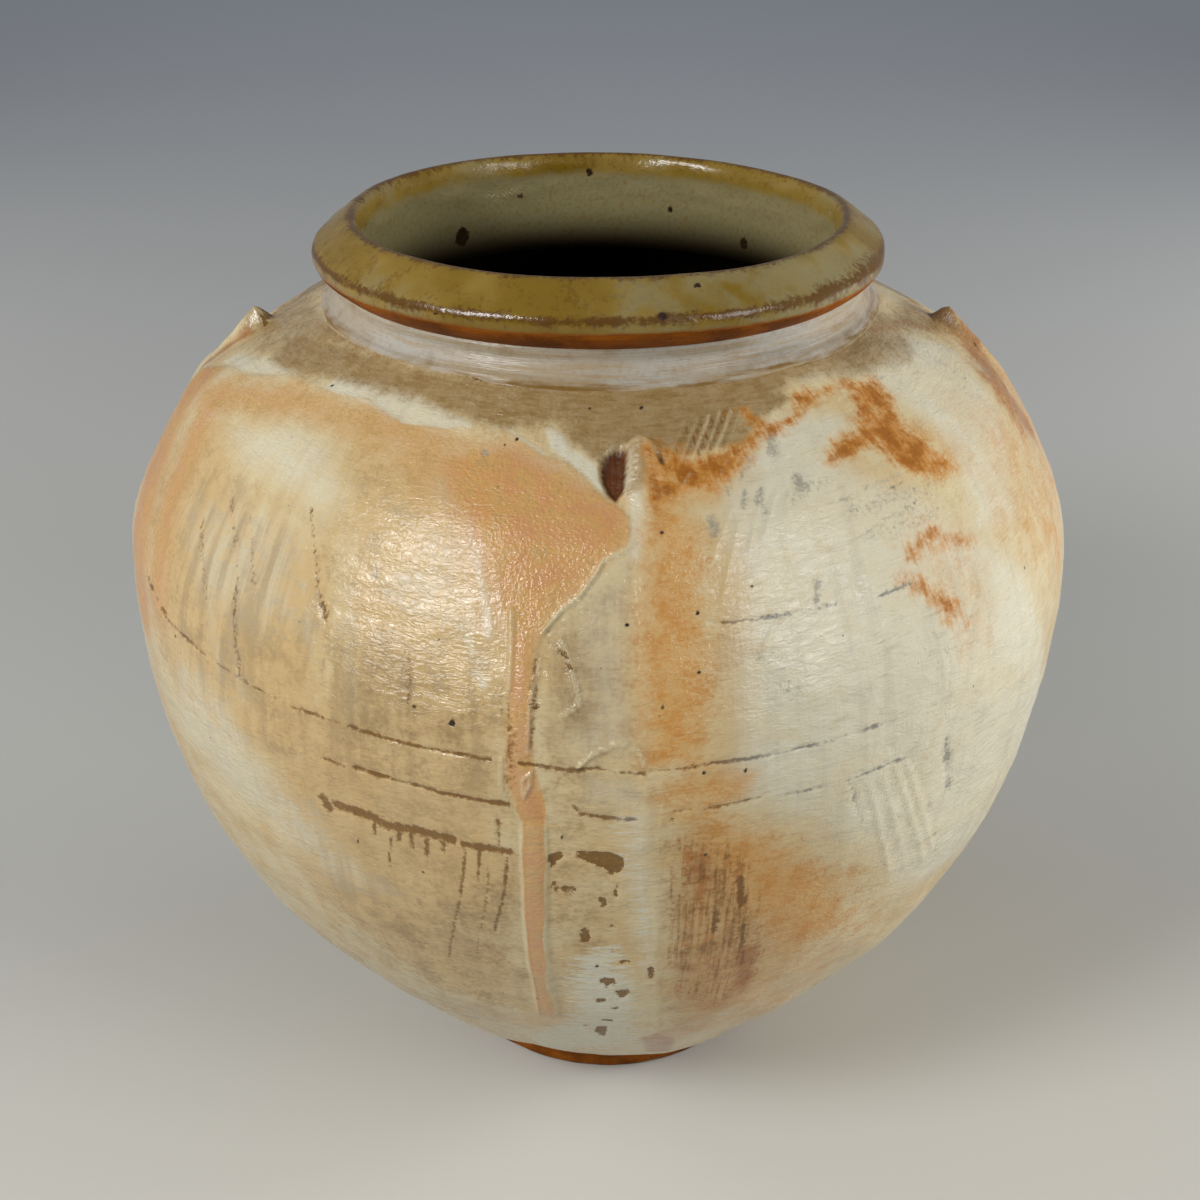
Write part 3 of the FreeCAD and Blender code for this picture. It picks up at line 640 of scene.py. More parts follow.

# Marks on the back and sides, which the photograph doesn't show, among them painted shade at the nubs:
# degrees of turn and mm of height.
BACK_MARKS = {
    "redden": (
        stroke(7.0, 4.0, 0.75, (93.0, 220), (93.5, 210)),
        stroke(4.0, 2.4, 0.9, (270.0, 217), (270.6, 208)),
        stroke(6.0, 3.0, 0.9, (187.0, 223), (187.0, 214)),
    ),
    "streaky": (
        area(10.0, 0.7, (250, 190), (206, 180), (186, 150), (188, 90), (240, 90), (262, 140)),
    ),
    "run": (
        stroke(4.2, 1.6, 1.0, (172.2, 150), (172, 128), (171.6, 104), (171.2, 88)),
    ),
    "flow": (
        area(
            0.5, 1.0,
            (252, 172), (246, 200), (238, 219), (226, 223), (214, 219), (204, 213), (196, 216),
            (190, 220), (184, 214), (179, 203), (176, 190), (172, 178), (171, 160), (170, 140),
            (170.6, 112), (170, 92), (171.2, 84), (173, 92), (173.4, 120), (174, 150), (184, 152),
            (210, 146), (240, 150), (262, 152), (270, 165)
        ),
    ),
    "warm": (
        stroke(22.0, 8.0, 0.8, (248, 196), (232, 214), (212, 210), (196, 205), (186, 196)),
        area(6.0, 0.9, (196, 212), (186, 212), (178, 196), (172, 176), (180, 160), (192, 178)),
        area(
            1.0, 0.9,
            (171, 165), (174, 150), (173.4, 120), (173, 92), (171.2, 84), (170, 92), (170.6, 112)
        ),
        stroke(26.0, 14.0, 0.5, (262, 110), (268, 150), (272, 190)),
    ),
    "buff": (
        area(14.0, 0.8, (176, 200), (230, 200), (250, 150), (240, 60), (190, 30), (170, 60), (172, 150)),
    ),
    "combed": (
        area(4.0, 0.6, (158, 112), (142, 108), (136, 80), (144, 50), (158, 52)),
    ),
    "wash": (
        area(3.0, 0.8, (181, 84), (190, 80), (193, 40), (190, 14), (178, 14), (180, 60)),
    ),
    "orange": (
        area(8.0, 0.8, (150, 210), (158, 214), (164, 190), (162, 160), (158, 140), (152, 150)),
        stroke(24.0, 12.0, 0.7, (88, 205), (92, 170), (94, 130), (92, 90)),
        area(12.0, 0.6, (150, 70), (128, 60), (112, 80), (120, 100), (145, 95)),
    ),
    "rust": (
        area(3.0, 0.9, (140, 216), (132, 222), (120, 214), (112, 200), (122, 198), (132, 206)),
        area(3.0, 0.8, (104, 186), (112, 180), (118, 168), (108, 164), (100, 174)),
        area(2.5, 0.7, (206, 224), (216, 226), (222, 221), (212, 219)),
    ),
    "white": (
        area(
            14.0, 0.95,
            (98, 200), (120, 190), (150, 186), (154, 150), (150, 110), (120, 105), (104, 130), (100, 170)
        ),
        area(9.0, 0.8, (238, 190), (222, 196), (206, 180), (214, 164), (236, 168)),
        area(2.0, 0.8, (182, 84), (190, 80), (192, 50), (184, 40), (180, 60)),
    ),
    "tan": (
        area(
            6.0, 0.95,
            (100, 218), (130, 224), (165, 222), (184, 224), (210, 222), (235, 226), (265, 220),
            (268, 231), (180, 231), (98, 231)
        ),
        area(6.0, 0.6, (176, 150), (190, 152), (192, 100), (184, 40), (176, 40), (174, 100)),
        area(12.0, 0.5, (200, 90), (250, 90), (250, 40), (200, 30)),
    ),
    "brown": (
        stroke(2.2, 0.6, 0.9, (238, 139), (226, 138), (214, 138.6), (204, 138)),
        stroke(0.9, 0.6, 0.7, (214, 138), (214, 120)),
        stroke(0.9, 0.6, 0.7, (206, 138), (207, 108)),
    ),
    "chip_and_shade": (
        # Painted shade: the first two strokes are dark lines at the tops of the side nubs, standing in for
        # the shade under their edge.
        stroke(1.0, 0.7, 0.9, (90.0, 220.0), (93.0, 220.3), (96.5, 220.0)),
        stroke(1.4, 0.8, 1.0, (264.0, 219.6), (267.5, 220.0), (270.4, 219.6)),
        dots(0.9, 0.5, 1.0, (90.4, 213), (91.0, 208)),
        area(0.4, 0.9, (188, 134), (182, 136), (178, 133), (183, 130), (186, 131)),
        stroke(1.6, 0.4, 0.9, (184, 118), (183, 117)),
        stroke(1.4, 0.4, 0.9, (187, 104), (186, 104)),
        stroke(1.5, 0.4, 0.9, (182, 92), (181, 91)),
    ),
    "score": (
        stroke(0.8, 0.5, 0.8, (240, 161), (222, 161.4), (200, 161)),
        stroke(0.8, 0.5, 0.8, (164, 161), (146, 160.6), (128, 161)),
        stroke(0.9, 0.5, 0.8, (234, 150), (212, 150), (196, 150.2)),
        stroke(0.8, 0.5, 0.7, (160, 150), (140, 150)),
        stroke(0.7, 0.5, 0.6, (150, 191), (128, 191.4)),
        stroke(0.7, 0.6, 0.4, (118, 146), (114, 122)),
        stroke(0.7, 0.6, 0.4, (110, 148), (105, 124)),
    ),
    "ridge": (
        stroke(0.8, 0.4, 0.9, (171, 166), (176, 176), (180, 184), (182, 196)),
        stroke(0.8, 0.4, 0.8, (178, 158), (182, 164), (187, 160), (186, 152)),
        stroke(1.3, 0.9, 0.7, (184.8, 186), (184.8, 150), (185.6, 90), (189, 48)),
    ),
    # Finger marks beside the other nubs, sunk, and painted as bare clay darkened with painted shade.
    "hollow": (
        area(1.2, 0.9, (187.5, 222), (191.5, 221), (192, 216), (189, 213), (187.5, 217)),
        area(1.2, 0.7, (97.5, 222), (101, 221), (101.5, 216), (98.5, 214), (97.5, 217)),
        area(1.2, 0.7, (258.5, 222), (262, 221), (262.5, 216), (259.5, 214), (258.5, 217)),
    ),
    "grey": (
        stroke(2.0, 0.8, 0.6, (140, 186), (139, 184)),
        stroke(1.8, 0.8, 0.6, (130, 176), (130.5, 174)),
        stroke(2.6, 1.6, 0.5, (122, 158), (121, 152)),
    ),
    "speck": (
        dots(
            1.2, 0.4, 1.0,
            (216, 172), (146, 198), (236, 122), (200, 186), (128, 132), (164, 100), (252, 178)
        ),
        dots(
            0.8, 0.4, 1.0,
            (208, 206), (222, 152), (190, 140), (114, 190), (156, 170), (246, 92), (138, 120)
        ),
    ),
}

# Iron spots of the rim: turn in degrees, height and half width in mm, and whether one lies inside the mouth.
RIM_SPOTS = (
    (-139.8, 230.6, 2.3, True),
    (137.3, 229.0, 1.4, True),
    (-177.3, 246.1, 1.0, True),
    (-158.0, 240.0, 0.6, True),
    (160.0, 236.0, 0.7, True),
    (19.2, 249.6, 0.9, False),
    (-30.0, 243.0, 0.7, False),
)


def screen_tone(red, green, blue):
    """Turns a tone as a screen shows it, from 0 to 255, into the plain light that shaders work in."""
    tone = []
    for shown in (red, green, blue):
        tone.append(round(((shown / 255 + 0.055) / 1.055) ** 2.4 if shown > 10 else shown / 3294.6, 4))
    return tuple(tone)


def tone_property(name, description, red, green, blue):
    return bpy.props.FloatVectorProperty(
        name=name, description=description, subtype="COLOR", size=3, min=0.0, max=1.0,
        default=screen_tone(red, green, blue))


def length_property(name, description, millimetres):
    return bpy.props.FloatProperty(
        name=name, description=description, unit="LENGTH", precision=4, min=0.0,
        default=millimetres * MM)


class JarSizes(bpy.types.PropertyGroup):
    """Sizes of the jar's dressed pieces"""

    lobe_depth: length_property("Lobe depth", "How far the wall falls in between two creases", 5.0)
    wall: length_property("Wall", "Thickness of the thrown wall", 7.0)
    seam_bottom: length_property("Seam bottom", "Height at which the belly seam begins", 149.2)
    seam_top: length_property("Seam top", "Height at which the belly seam ends", 150.8)
    glaze_step: length_property("Glaze step", "Height of the edge of the flow of glaze", 0.35)
    run_height: length_property("Run height", "How far the run of glaze stands proud", 0.7)
    score_depth: length_property("Score depth", "Depth of the lines scored round the belly", 0.45)
    chip_depth: length_property("Chip depth", "Depth of the bare chips", 0.35)
    rib_proud: length_property("Rib proud", "How far the nub of a rib stands out", 4.2)
    rib_half_width: length_property("Rib half width", "Half of the width of a pinched rib", 3.6)
    hollow_depth: length_property("Hollow depth", "Depth of the finger mark beside a nub", 2.0)
    columns: bpy.props.IntProperty(
        name="Columns", description="Faces round the wall", default=720, min=180, max=900)


class JarTones(bpy.types.PropertyGroup):
    """Tones of the jar's clay and glazes"""

    cream: tone_property("Cream", "Thin pale glaze", 190, 175, 138)
    buff: tone_property("Buff", "Thicker glaze over the clay", 182, 152, 102)
    peach: tone_property("Peach", "Flushed flow of glaze", 180, 127, 78)
    orange: tone_property("Orange", "Flame flush on the glaze", 188, 142, 77)
    rust: tone_property("Rust", "Burnt slip", 156, 92, 18)
    deep_rust: tone_property("Deep rust", "Burnt slip at its darkest", 134, 76, 12)
    redden: tone_property("Redden", "Red brown flush", 142, 84, 30)
    white: tone_property("White", "White slip under thin glaze", 194, 188, 166)
    wash: tone_property("Wash", "Brushed pale wash at the foot", 192, 192, 176)
    tan: tone_property("Tan", "Greenish tan of the shoulder", 149, 127, 90)
    umber: tone_property("Umber", "Darker flecks of the shoulder", 110, 78, 14)
    ember: tone_property("Ember", "Flame flush at its strongest", 180, 120, 42)
    slate: tone_property("Slate", "Grey of scored lines over white", 112, 110, 104)
    brown: tone_property("Brown", "Brown of combed and bare marks", 102, 64, 0)
    # Iron specks, and the near black of the painted shade in the hollows.
    dark: tone_property("Dark", "Iron specks", 40, 26, 14)
    # Bare clay of the hollows beside the nubs; the glaze mixes it towards near black there as painted shade.
    hollow: tone_property("Hollow", "Bare clay in the hollows", 98, 48, 4)
    grey: tone_property("Grey", "Grey rubbed marks", 142, 136, 120)
    lining: tone_property("Lining", "Grey green glaze inside", 124, 116, 82)
    # Painted shade: the lining's tone deep inside the jar, where little light reaches.
    lining_shade: tone_property("Lining deep", "Lining where it is deep in the jar", 40, 32, 20)
    olive: tone_property("Olive", "Ash glaze of the rim", 112, 88, 22)
    ochre: tone_property("Ochre", "Paler ash glaze of the rim", 128, 104, 44)
    burnt: tone_property("Burnt", "Burnt edge of the rim", 80, 50, 8)
    slip: tone_property("Slip", "White slip of the neck", 163, 158, 147)
    clay: tone_property("Clay", "Fired bare clay", 140, 76, 4)
    clay_dark: tone_property("Dark clay", "Fired bare clay at its darkest", 96, 48, 0)


class StageSettings(bpy.types.PropertyGroup):
    """Sizes and tones of the stage"""

    camera_back: length_property("Camera back", "Distance of the camera in front of the jar's axis", 429.0)
    camera_up: length_property("Camera up", "Height of the camera above the floor", 359.0)
    camera_tilt: bpy.props.FloatProperty(
        name="Camera tilt", description="How far the camera looks down", subtype="ANGLE",
        default=math.radians(27.54))
    picture_focus: bpy.props.FloatProperty(
        name="Focus", description="Focal length in points of a picture 1200 across", default=1643.0)
    near_tone: tone_property("Near floor", "Floor in front of the jar", 187, 185, 178)
    mid_tone: tone_property("Middle floor", "Floor at the jar", 168, 168, 164)
    far_tone: tone_property("Far floor", "Floor far behind the jar", 218, 224, 233)


def sizes():
    return bpy.context.scene.jar_sizes


def tones():
    return bpy.context.scene.jar_tones


def stage_settings():
    return bpy.context.scene.jar_stage


def smooth(share):
    """A soft step from 0 to 1 as share goes from 0 to 1."""
    share = np.clip(share, 0.0, 1.0)
    return share * share * (3 - 2 * share)


def bell(value, middle, width):
    """A soft bump of height 1 at the middle."""
    return np.exp(-((value - middle) / width) ** 2)


def wrapped(turn):
    """The same turn, between minus half a turn and half a turn."""
    return (turn + math.pi) % math.tau - math.pi


def running_sum(parts):
    return np.concatenate(([0.0], np.cumsum(parts)))


def round_the_axis(turn, radius, height, lean=0.0):
    """Points at some turns from the front, radii and heights, leaning sideways."""
    across = radius * np.sin(turn) + lean
    back = -radius * np.cos(turn)
    return np.stack(np.broadcast_arrays(across, back, height), axis=-1)


def curve_through(places, values):
    """A smooth curve through the given values, as a function of the place."""
    places, values = np.array(places, float), np.array(values, float)
    last = len(places) - 1
    gaps = np.diff(places)
    slopes = np.diff(values) / gaps
    matrix, bends = np.eye(last + 1), np.zeros(last + 1)
    for i in range(1, last):
        matrix[i, i - 1:i + 2] = gaps[i - 1], 2 * (gaps[i - 1] + gaps[i]), gaps[i]
        bends[i] = 6 * (slopes[i] - slopes[i - 1])
    bends = np.linalg.solve(matrix, bends)

    def value_at(place):
        i = np.clip(np.searchsorted(places, place) - 1, 0, last - 1)
        done, left, gap = place - places[i], places[i + 1] - place, gaps[i]
        return ((bends[i] * left ** 3 + bends[i + 1] * done ** 3) / (6 * gap)
                + (values[i] / gap - bends[i] * gap / 6) * left
                + (values[i + 1] / gap - bends[i + 1] * gap / 6) * done)
    return value_at


def ripple(places, size, seed, waves=16):
    """Soft uneven waves about one high and size mm long, the same for a given seed."""
    chance = np.random.default_rng(seed)
    headings = chance.normal(size=(waves, 3))
    headings /= np.linalg.norm(headings, axis=1)[:, None]
    lengths = size * chance.uniform(0.6, 1.7, waves)
    phases = chance.uniform(0, math.tau, waves)
    total = np.zeros(places.shape[:-1])
    for heading, length, phase in zip(headings, lengths, phases):
        total += np.sin(places @ heading * (math.tau / length) + phase)
    return total / math.sqrt(waves / 2)


class Wall:
    """The outer surface of the jar, by turn from the front in radians and height in mm."""

    def __init__(self):
        heights, radii, shares = zip(*WALL_STATIONS)
        self.low, self.high = heights[0], heights[-1]
        self.ridge = curve_through(heights, radii)
        self.lobe = curve_through(heights, shares)
        self.depth = sizes().lobe_depth / MM
        self.steps = np.linspace(self.low, self.high, 3000)
        self.rises = running_sum(np.hypot(np.diff(self.steps), np.diff(self.ridge(self.steps))))
        self.length = self.rises[-1]

    def rise_at(self, height):
        """How far up along the wall a height lies."""
        return np.interp(height, self.steps, self.rises)

    def height_at(self, rise):
        return np.interp(rise, self.rises, self.steps)

    def crease(self, height):
        heights, turns = zip(*CREASE_STATIONS)
        return np.radians(np.interp(height, heights, turns))

    def lean(self, height):
        heights, leans = zip(*LEAN_STATIONS)
        return np.interp(height, heights, leans)

    def radius(self, turn, height):
        """Four shallow lobes between soft creases."""
        ridge = self.ridge(height)
        middle = ridge - self.depth * np.clip(self.lobe(height), 0.0, 1.0)
        half = ridge / math.sqrt(2)
        sag = middle - half
        bend = (half * half + sag * sag) / (2 * sag)
        offset = middle - bend
        quarter = math.pi / 2
        away = (turn - self.crease(height)) % quarter
        away = np.minimum(away, quarter - away)
        away = np.sqrt(away * away + math.radians(CREASE_SOFTNESS) ** 2)
        side = quarter / 2 - away
        return offset * np.cos(side) + np.sqrt(bend * bend - (offset * np.sin(side)) ** 2)

    def slope(self, height, reach):
        """How fast the wall widens with height, over a reach above and below."""
        above = self.ridge(np.minimum(height + reach, self.high))
        below = self.ridge(np.maximum(height - reach, self.low))
        return (above - below) / (2 * reach)

    def place(self, turn, height, lift):
        """Points of the wall, lifted along its normal, in mm."""
        slope = self.slope(height, 0.3)
        tilt = 1 / np.sqrt(1 + slope * slope)
        radius = self.radius(turn, height) + lift * tilt
        up = height - lift * slope * tilt
        return round_the_axis(turn, radius, up, self.lean(height))

    def under(self, points):
        """Where the camera's rays through points of the photograph meet the wall, as turns and rises."""
        stage = stage_settings()
        across, down = (np.array(points, float).T - PICTURE_WIDTH / 2) / stage.picture_focus
        cosine, sine = math.cos(stage.camera_tilt), math.sin(stage.camera_tilt)
        ray = np.stack((across, cosine - down * sine, -sine - down * cosine), axis=-1)
        along = np.arange(*RAY_REACH)
        places = ray[:, None, :] * along[None, :, None]
        places += np.array((0.0, -stage.camera_back / MM, stage.camera_up / MM))
        height = np.clip(places[..., 2], self.low, self.high)
        from_axis = places[..., 0] - self.lean(height)
        turn = np.arctan2(from_axis, -places[..., 1])
        outside = np.hypot(from_axis, places[..., 1]) - self.radius(turn, height)
        outside += np.abs(places[..., 2] - height) * 3
        met = outside < 0
        first = np.where(met.any(axis=1), met.argmax(axis=1), outside.argmin(axis=1))
        rows = np.arange(len(first))
        return turn[rows, first], self.rise_at(height[rows, first])


def mark_strength(turn, rise, radius, mark, turns, rises):
    """How strongly one mark covers each point of the wall, from 0 to 1."""
    middle = turns[0] if len(turns) == 1 else (turns.max() + turns.min()) / 2
    reach = mark.width / 2 + mark.softness
    offset = wrapped(turn - middle)
    near = np.abs(offset) * radius <= np.abs(turns - middle).max() * radius + reach
    near &= (rise >= rises.min() - reach) & (rise <= rises.max() + reach)
    strengths = np.zeros(turn.shape)
    if not near.any():
        return strengths
    offset, rise, radius = offset[near], rise[near], radius[near]
    sides = turns - middle
    if mark.kind == "area":
        sides, rises = np.append(sides, sides[0]), np.append(rises, rises[0])
    distance = np.full(offset.shape, 1e6)
    inside = np.zeros(offset.shape, bool)
    if mark.kind == "dot" or len(sides) == 1:
        for side, level in zip(sides, rises):
            distance = np.minimum(distance, np.hypot((side - offset) * radius, level - rise))
    else:
        for i in range(len(sides) - 1):
            from_x, from_y = (sides[i] - offset) * radius, rises[i] - rise
            to_x, to_y = (sides[i + 1] - offset) * radius, rises[i + 1] - rise
            step_x, step_y = to_x - from_x, to_y - from_y
            length = np.maximum(step_x * step_x + step_y * step_y, 1e-9)
            along = np.clip(-(from_x * step_x + from_y * step_y) / length, 0, 1)
            distance = np.minimum(distance, np.hypot(from_x + along * step_x, from_y + along * step_y))
            if mark.kind == "area":
                with np.errstate(divide="ignore", invalid="ignore"):
                    inside ^= ((from_y > 0) != (to_y > 0)) & (from_x - from_y * step_x / step_y > 0)
    if mark.kind == "area":
        depth = np.where(inside, distance, -distance)
    else:
        depth = mark.width / 2 - distance
    strengths[near] = mark.strength * smooth(0.5 + depth / (2 * mark.softness))
    return strengths


class Glazing:
    """The marks of the glaze, carried onto the wall once."""

    def __init__(self, wall):
        self.wall = wall
        self.marks = {}
        for name, marks in FRONT_MARKS.items():
            self.marks[name] = [(mark, *wall.under(mark.points)) for mark in marks]
        for name, marks in BACK_MARKS.items():
            for mark in marks:
                turns, heights = np.array(mark.points, float).T
                self.marks[name].append((mark, np.radians(turns), wall.rise_at(heights)))

    def fields(self, turn, rise):
        """Each kind of mark as a field from 0 to 1 over the given points."""
        radius = self.wall.radius(turn, self.wall.height_at(rise))
        made = {}
        for name, marks in self.marks.items():
            total = np.zeros(turn.shape)
            for mark, turns, rises in marks:
                total = np.maximum(total, mark_strength(turn, rise, radius, mark, turns, rises))
            made[name] = total
        return made

    def lift(self, turn, rise, made):
        """How far the glaze and the marks stand above or below the thrown wall, in mm."""
        size = sizes()
        height = self.wall.height_at(rise)
        spread = round_the_axis(turn, 100.0, rise)
        lift = np.zeros(turn.shape)
        for wave_height, length, squeeze, seed in WALL_WAVES:
            lift += wave_height * ripple(spread * (squeeze, squeeze, 1.0), length, seed)
        gaps = smooth(0.9 + 0.9 * ripple(spread, 7.0, 11))
        thick = made["flow"] * np.maximum(smooth((height - 158) / 18), smooth(made["run"]))
        lift += size.glaze_step / MM * thick + 0.5 * thick * (1 - thick)
        lift += size.run_height / MM * made["run"]
        lift += 0.8 * made["ridge"]
        lift += 0.22 * made["white"] * (0.4 + 0.3 * ripple(spread, 6.0, 13))
        lift -= size.score_depth / MM * made["score"] * gaps
        lift -= size.chip_depth / MM * (made["chip_and_shade"] + 0.5 * made["grey"] + 0.25 * made["brown"])
        lift -= size.hollow_depth / MM * made["hollow"]
        return lift


def spread_evenly(steps, density, shares):
    """The steps at which the given shares of the density lie behind."""
    total = running_sum((density[1:] + density[:-1]) / 2)
    return np.interp(shares, total / total[-1], steps)


def column_turns(count):
    """Turns of the wall's columns, closer together where the photograph shows the marks."""
    steps = np.radians(np.linspace(-180, 180, 3601))
    degrees = np.degrees(steps)
    density = 1.0 + 0.7 * (smooth((degrees + 78) / 12) - smooth((degrees - 66) / 12))
    density += 1.5 * (smooth((degrees + 24) / 8) - smooth((degrees - 12) / 8))
    return spread_evenly(steps, density, np.arange(count) / count)


def row_rises(low, high, pitch, crowded):
    """Rises of the wall's rows between two rises, closer together round the crowded ones."""
    steps = np.linspace(low, high, 2000)
    density = np.full(steps.shape, 1 / pitch)
    for level in crowded:
        density += 1.4 * bell(steps, level, 3.0) / pitch
    count = int(round(running_sum((density[1:] + density[:-1]) / 2)[-1] * (steps[1] - steps[0])))
    return spread_evenly(steps, density, np.linspace(0, 1, count + 1))


def rolled_blank(rows, columns, ring=True):
    """A sheet of rows and columns, rolled round the jar once its vertices go to their places.

    Gives the sheet with each vertex's row and column. The last column is the first again,
    and so is the last row of a ring.
    """
    shape = bmesh.new()
    down = rows if ring else rows - 1
    bmesh.ops.create_grid(shape, x_segments=columns, y_segments=down, size=1.0)
    shape.verts.ensure_lookup_table()
    layer = shape.verts.layers.int.new("kept")
    for i, vertex in enumerate(shape.verts):
        vertex[layer] = i
    places = np.array([vertex.co[:2] for vertex in shape.verts])
    share = (places - places.min(axis=0)) / np.ptp(places, axis=0)
    column = np.rint(share[:, 0] * columns).astype(int) % columns
    row = np.rint(share[:, 1] * down).astype(int) % rows
    return shape, row, column


def even_turns(column, columns):
    return column / columns * math.tau - math.pi


def kept_rows(shape, row):
    """Each face of a settled blank with the rows of its vertices."""
    layer = shape.verts.layers.int["kept"]
    for face in shape.faces:
        yield face, [row[vertex[layer]] for vertex in face.verts]


def settle(shape, places, weld=True):
    """Moves a blank's vertices to their places, closes its seams and poles, and turns its faces outwards."""
    for vertex, place in zip(shape.verts, places * MM):
        vertex.co = place
    if weld:
        border = [vertex for vertex in shape.verts if vertex.is_boundary]
        bmesh.ops.remove_doubles(shape, verts=border, dist=1e-6)
    bmesh.ops.recalc_face_normals(shape, faces=shape.faces)
    if shape.calc_volume(signed=True) < 0:
        bmesh.ops.reverse_faces(shape, faces=shape.faces)


def finish_piece(shape, name, coats, fields=None, normals=None):
    """Makes the mesh object of a piece, with its fields, normals, coats and body, and hides the imported part
    of the same name.
    """
    mesh = bpy.data.meshes.new(name)
    shape.to_mesh(mesh)
    shape.free()
    kept = mesh.attributes.get("kept")
    index = np.arange(len(mesh.vertices))
    if kept:
        kept.data.foreach_get("value", index)
        mesh.attributes.remove(kept)
    for field, values in (fields or {}).items():
        values = values[index]
        if values.ndim == 2:
            attribute = mesh.attributes.new(field, "FLOAT_VECTOR", "POINT")
            attribute.data.foreach_set("vector", values.astype(np.float32).ravel())
        else:
            attribute = mesh.attributes.new(field, "FLOAT", "POINT")
            attribute.data.foreach_set("value", values.astype(np.float32))
    for each in coats:
        mesh.materials.append(coat(each))
    mesh.shade_smooth()
    if normals is not None:
        mesh.normals_split_custom_set_from_vertices(normals[index].tolist())
    piece = bpy.data.objects.new(name, mesh)
    bpy.context.scene.collection.objects.link(piece)
    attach(piece, "root")
    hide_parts(name)
    return piece


def grid_normals(places):
    """Outward normals of a grid of rows and columns that closes round."""
    along = np.roll(places, -1, axis=1) - np.roll(places, 1, axis=1)
    upward = np.gradient(places, axis=0)
    normals = np.cross(along, upward)
    return normals / np.linalg.norm(normals, axis=-1)[..., None]


def wrap_of(turn, rise):
    """Coordinates that wrap round the jar in metres, for patterns that follow the wall."""
    return round_the_axis(turn, 1.0, rise * MM / WRAP_RADIUS) * WRAP_RADIUS


class ThrownWall:
    """The dressed wall, worked out once as one grid and handed out to the bowls and the seam."""

    made = None

    def __init__(self):
        size = sizes()
        self.wall = Wall()
        self.glazing = Glazing(self.wall)
        self.columns = size.columns
        seam = [self.wall.rise_at(height / MM) for height in (size.seam_bottom, size.seam_top)]
        crowd = [self.wall.rise_at(height) for height in CROWDED_HEIGHTS]
        low = row_rises(0.0, seam[0], LOWER_PITCH, crowd)
        middle = np.linspace(*seam, 4)
        high = row_rises(seam[1], self.wall.length, UPPER_PITCH, crowd)
        self.rises = np.concatenate((low, middle[1:-1], high))
        self.cuts = (len(low) - 1, len(low) + len(middle) - 2)
        turn, rise = np.meshgrid(column_turns(self.columns), self.rises)
        self.fields = self.glazing.fields(turn, rise)
        lift = self.glazing.lift(turn, rise, self.fields)
        self.places = self.wall.place(turn, self.wall.height_at(rise), lift)
        self.places[0, :, 2] = self.wall.low
        self.normals = grid_normals(self.places)
        self.fields["wrap"] = wrap_of(turn, rise)

    @classmethod
    def get(cls):
        if cls.made is None:
            cls.made = cls()
        return cls.made

    def ring(self, radius, height, lean=0.0):
        """A level ring of points, one under each column."""
        return round_the_axis(column_turns(self.columns), radius, height, lean)

    def inner(self, *heights):
        """Rows of the inner wall at the given heights, as far inside the outer wall as the wall is thick."""
        turns = column_turns(self.columns)
        thickness = sizes().wall / MM
        rows = []
        for height in heights:
            slope = float(self.wall.ridge(height + 0.2) - self.wall.ridge(height - 0.2)) / 0.4
            tilt = 1 / math.hypot(1, slope)
            radius = self.wall.radius(turns, np.full(turns.shape, height)) - thickness * tilt
            rows.append(round_the_axis(turns, radius, height + thickness * slope * tilt))
        return rows


def make_wall_piece(name, first, last, before, after):
    """One piece of the dressed wall: the grid's rows from first to last, between rows that close it.

    With rows before them the piece is an open line, from the middle of the underside
    round the wall to the middle of the floor. Without any it is a ring.
    """
    grid = ThrownWall.get()
    start = len(before)
    end = start + last - first + 1
    shape, row, column = rolled_blank(end + len(after), grid.columns, ring=not before)
    rows = np.array(before + list(grid.places[first:last + 1]) + after)
    normals = np.zeros(rows.shape)
    normals[start:end] = grid.normals[first:last + 1]
    fields = {}
    for field, values in grid.fields.items():
        filled = rows * MM if field == "wrap" else np.zeros(rows.shape[:2])
        filled[start:end] = values[first:last + 1]
        fields[field] = filled[row, column]
    settle(shape, rows[row, column])
    for face, levels in kept_rows(shape, row):
        face.material_index = 1 if min(levels) >= end else (2 if min(levels) < start else 0)
    coats = ("jar_glaze", "lining_glaze", "turned_clay")[:3 if before else 2]
    return finish_piece(shape, name, coats, fields, normals[row, column])


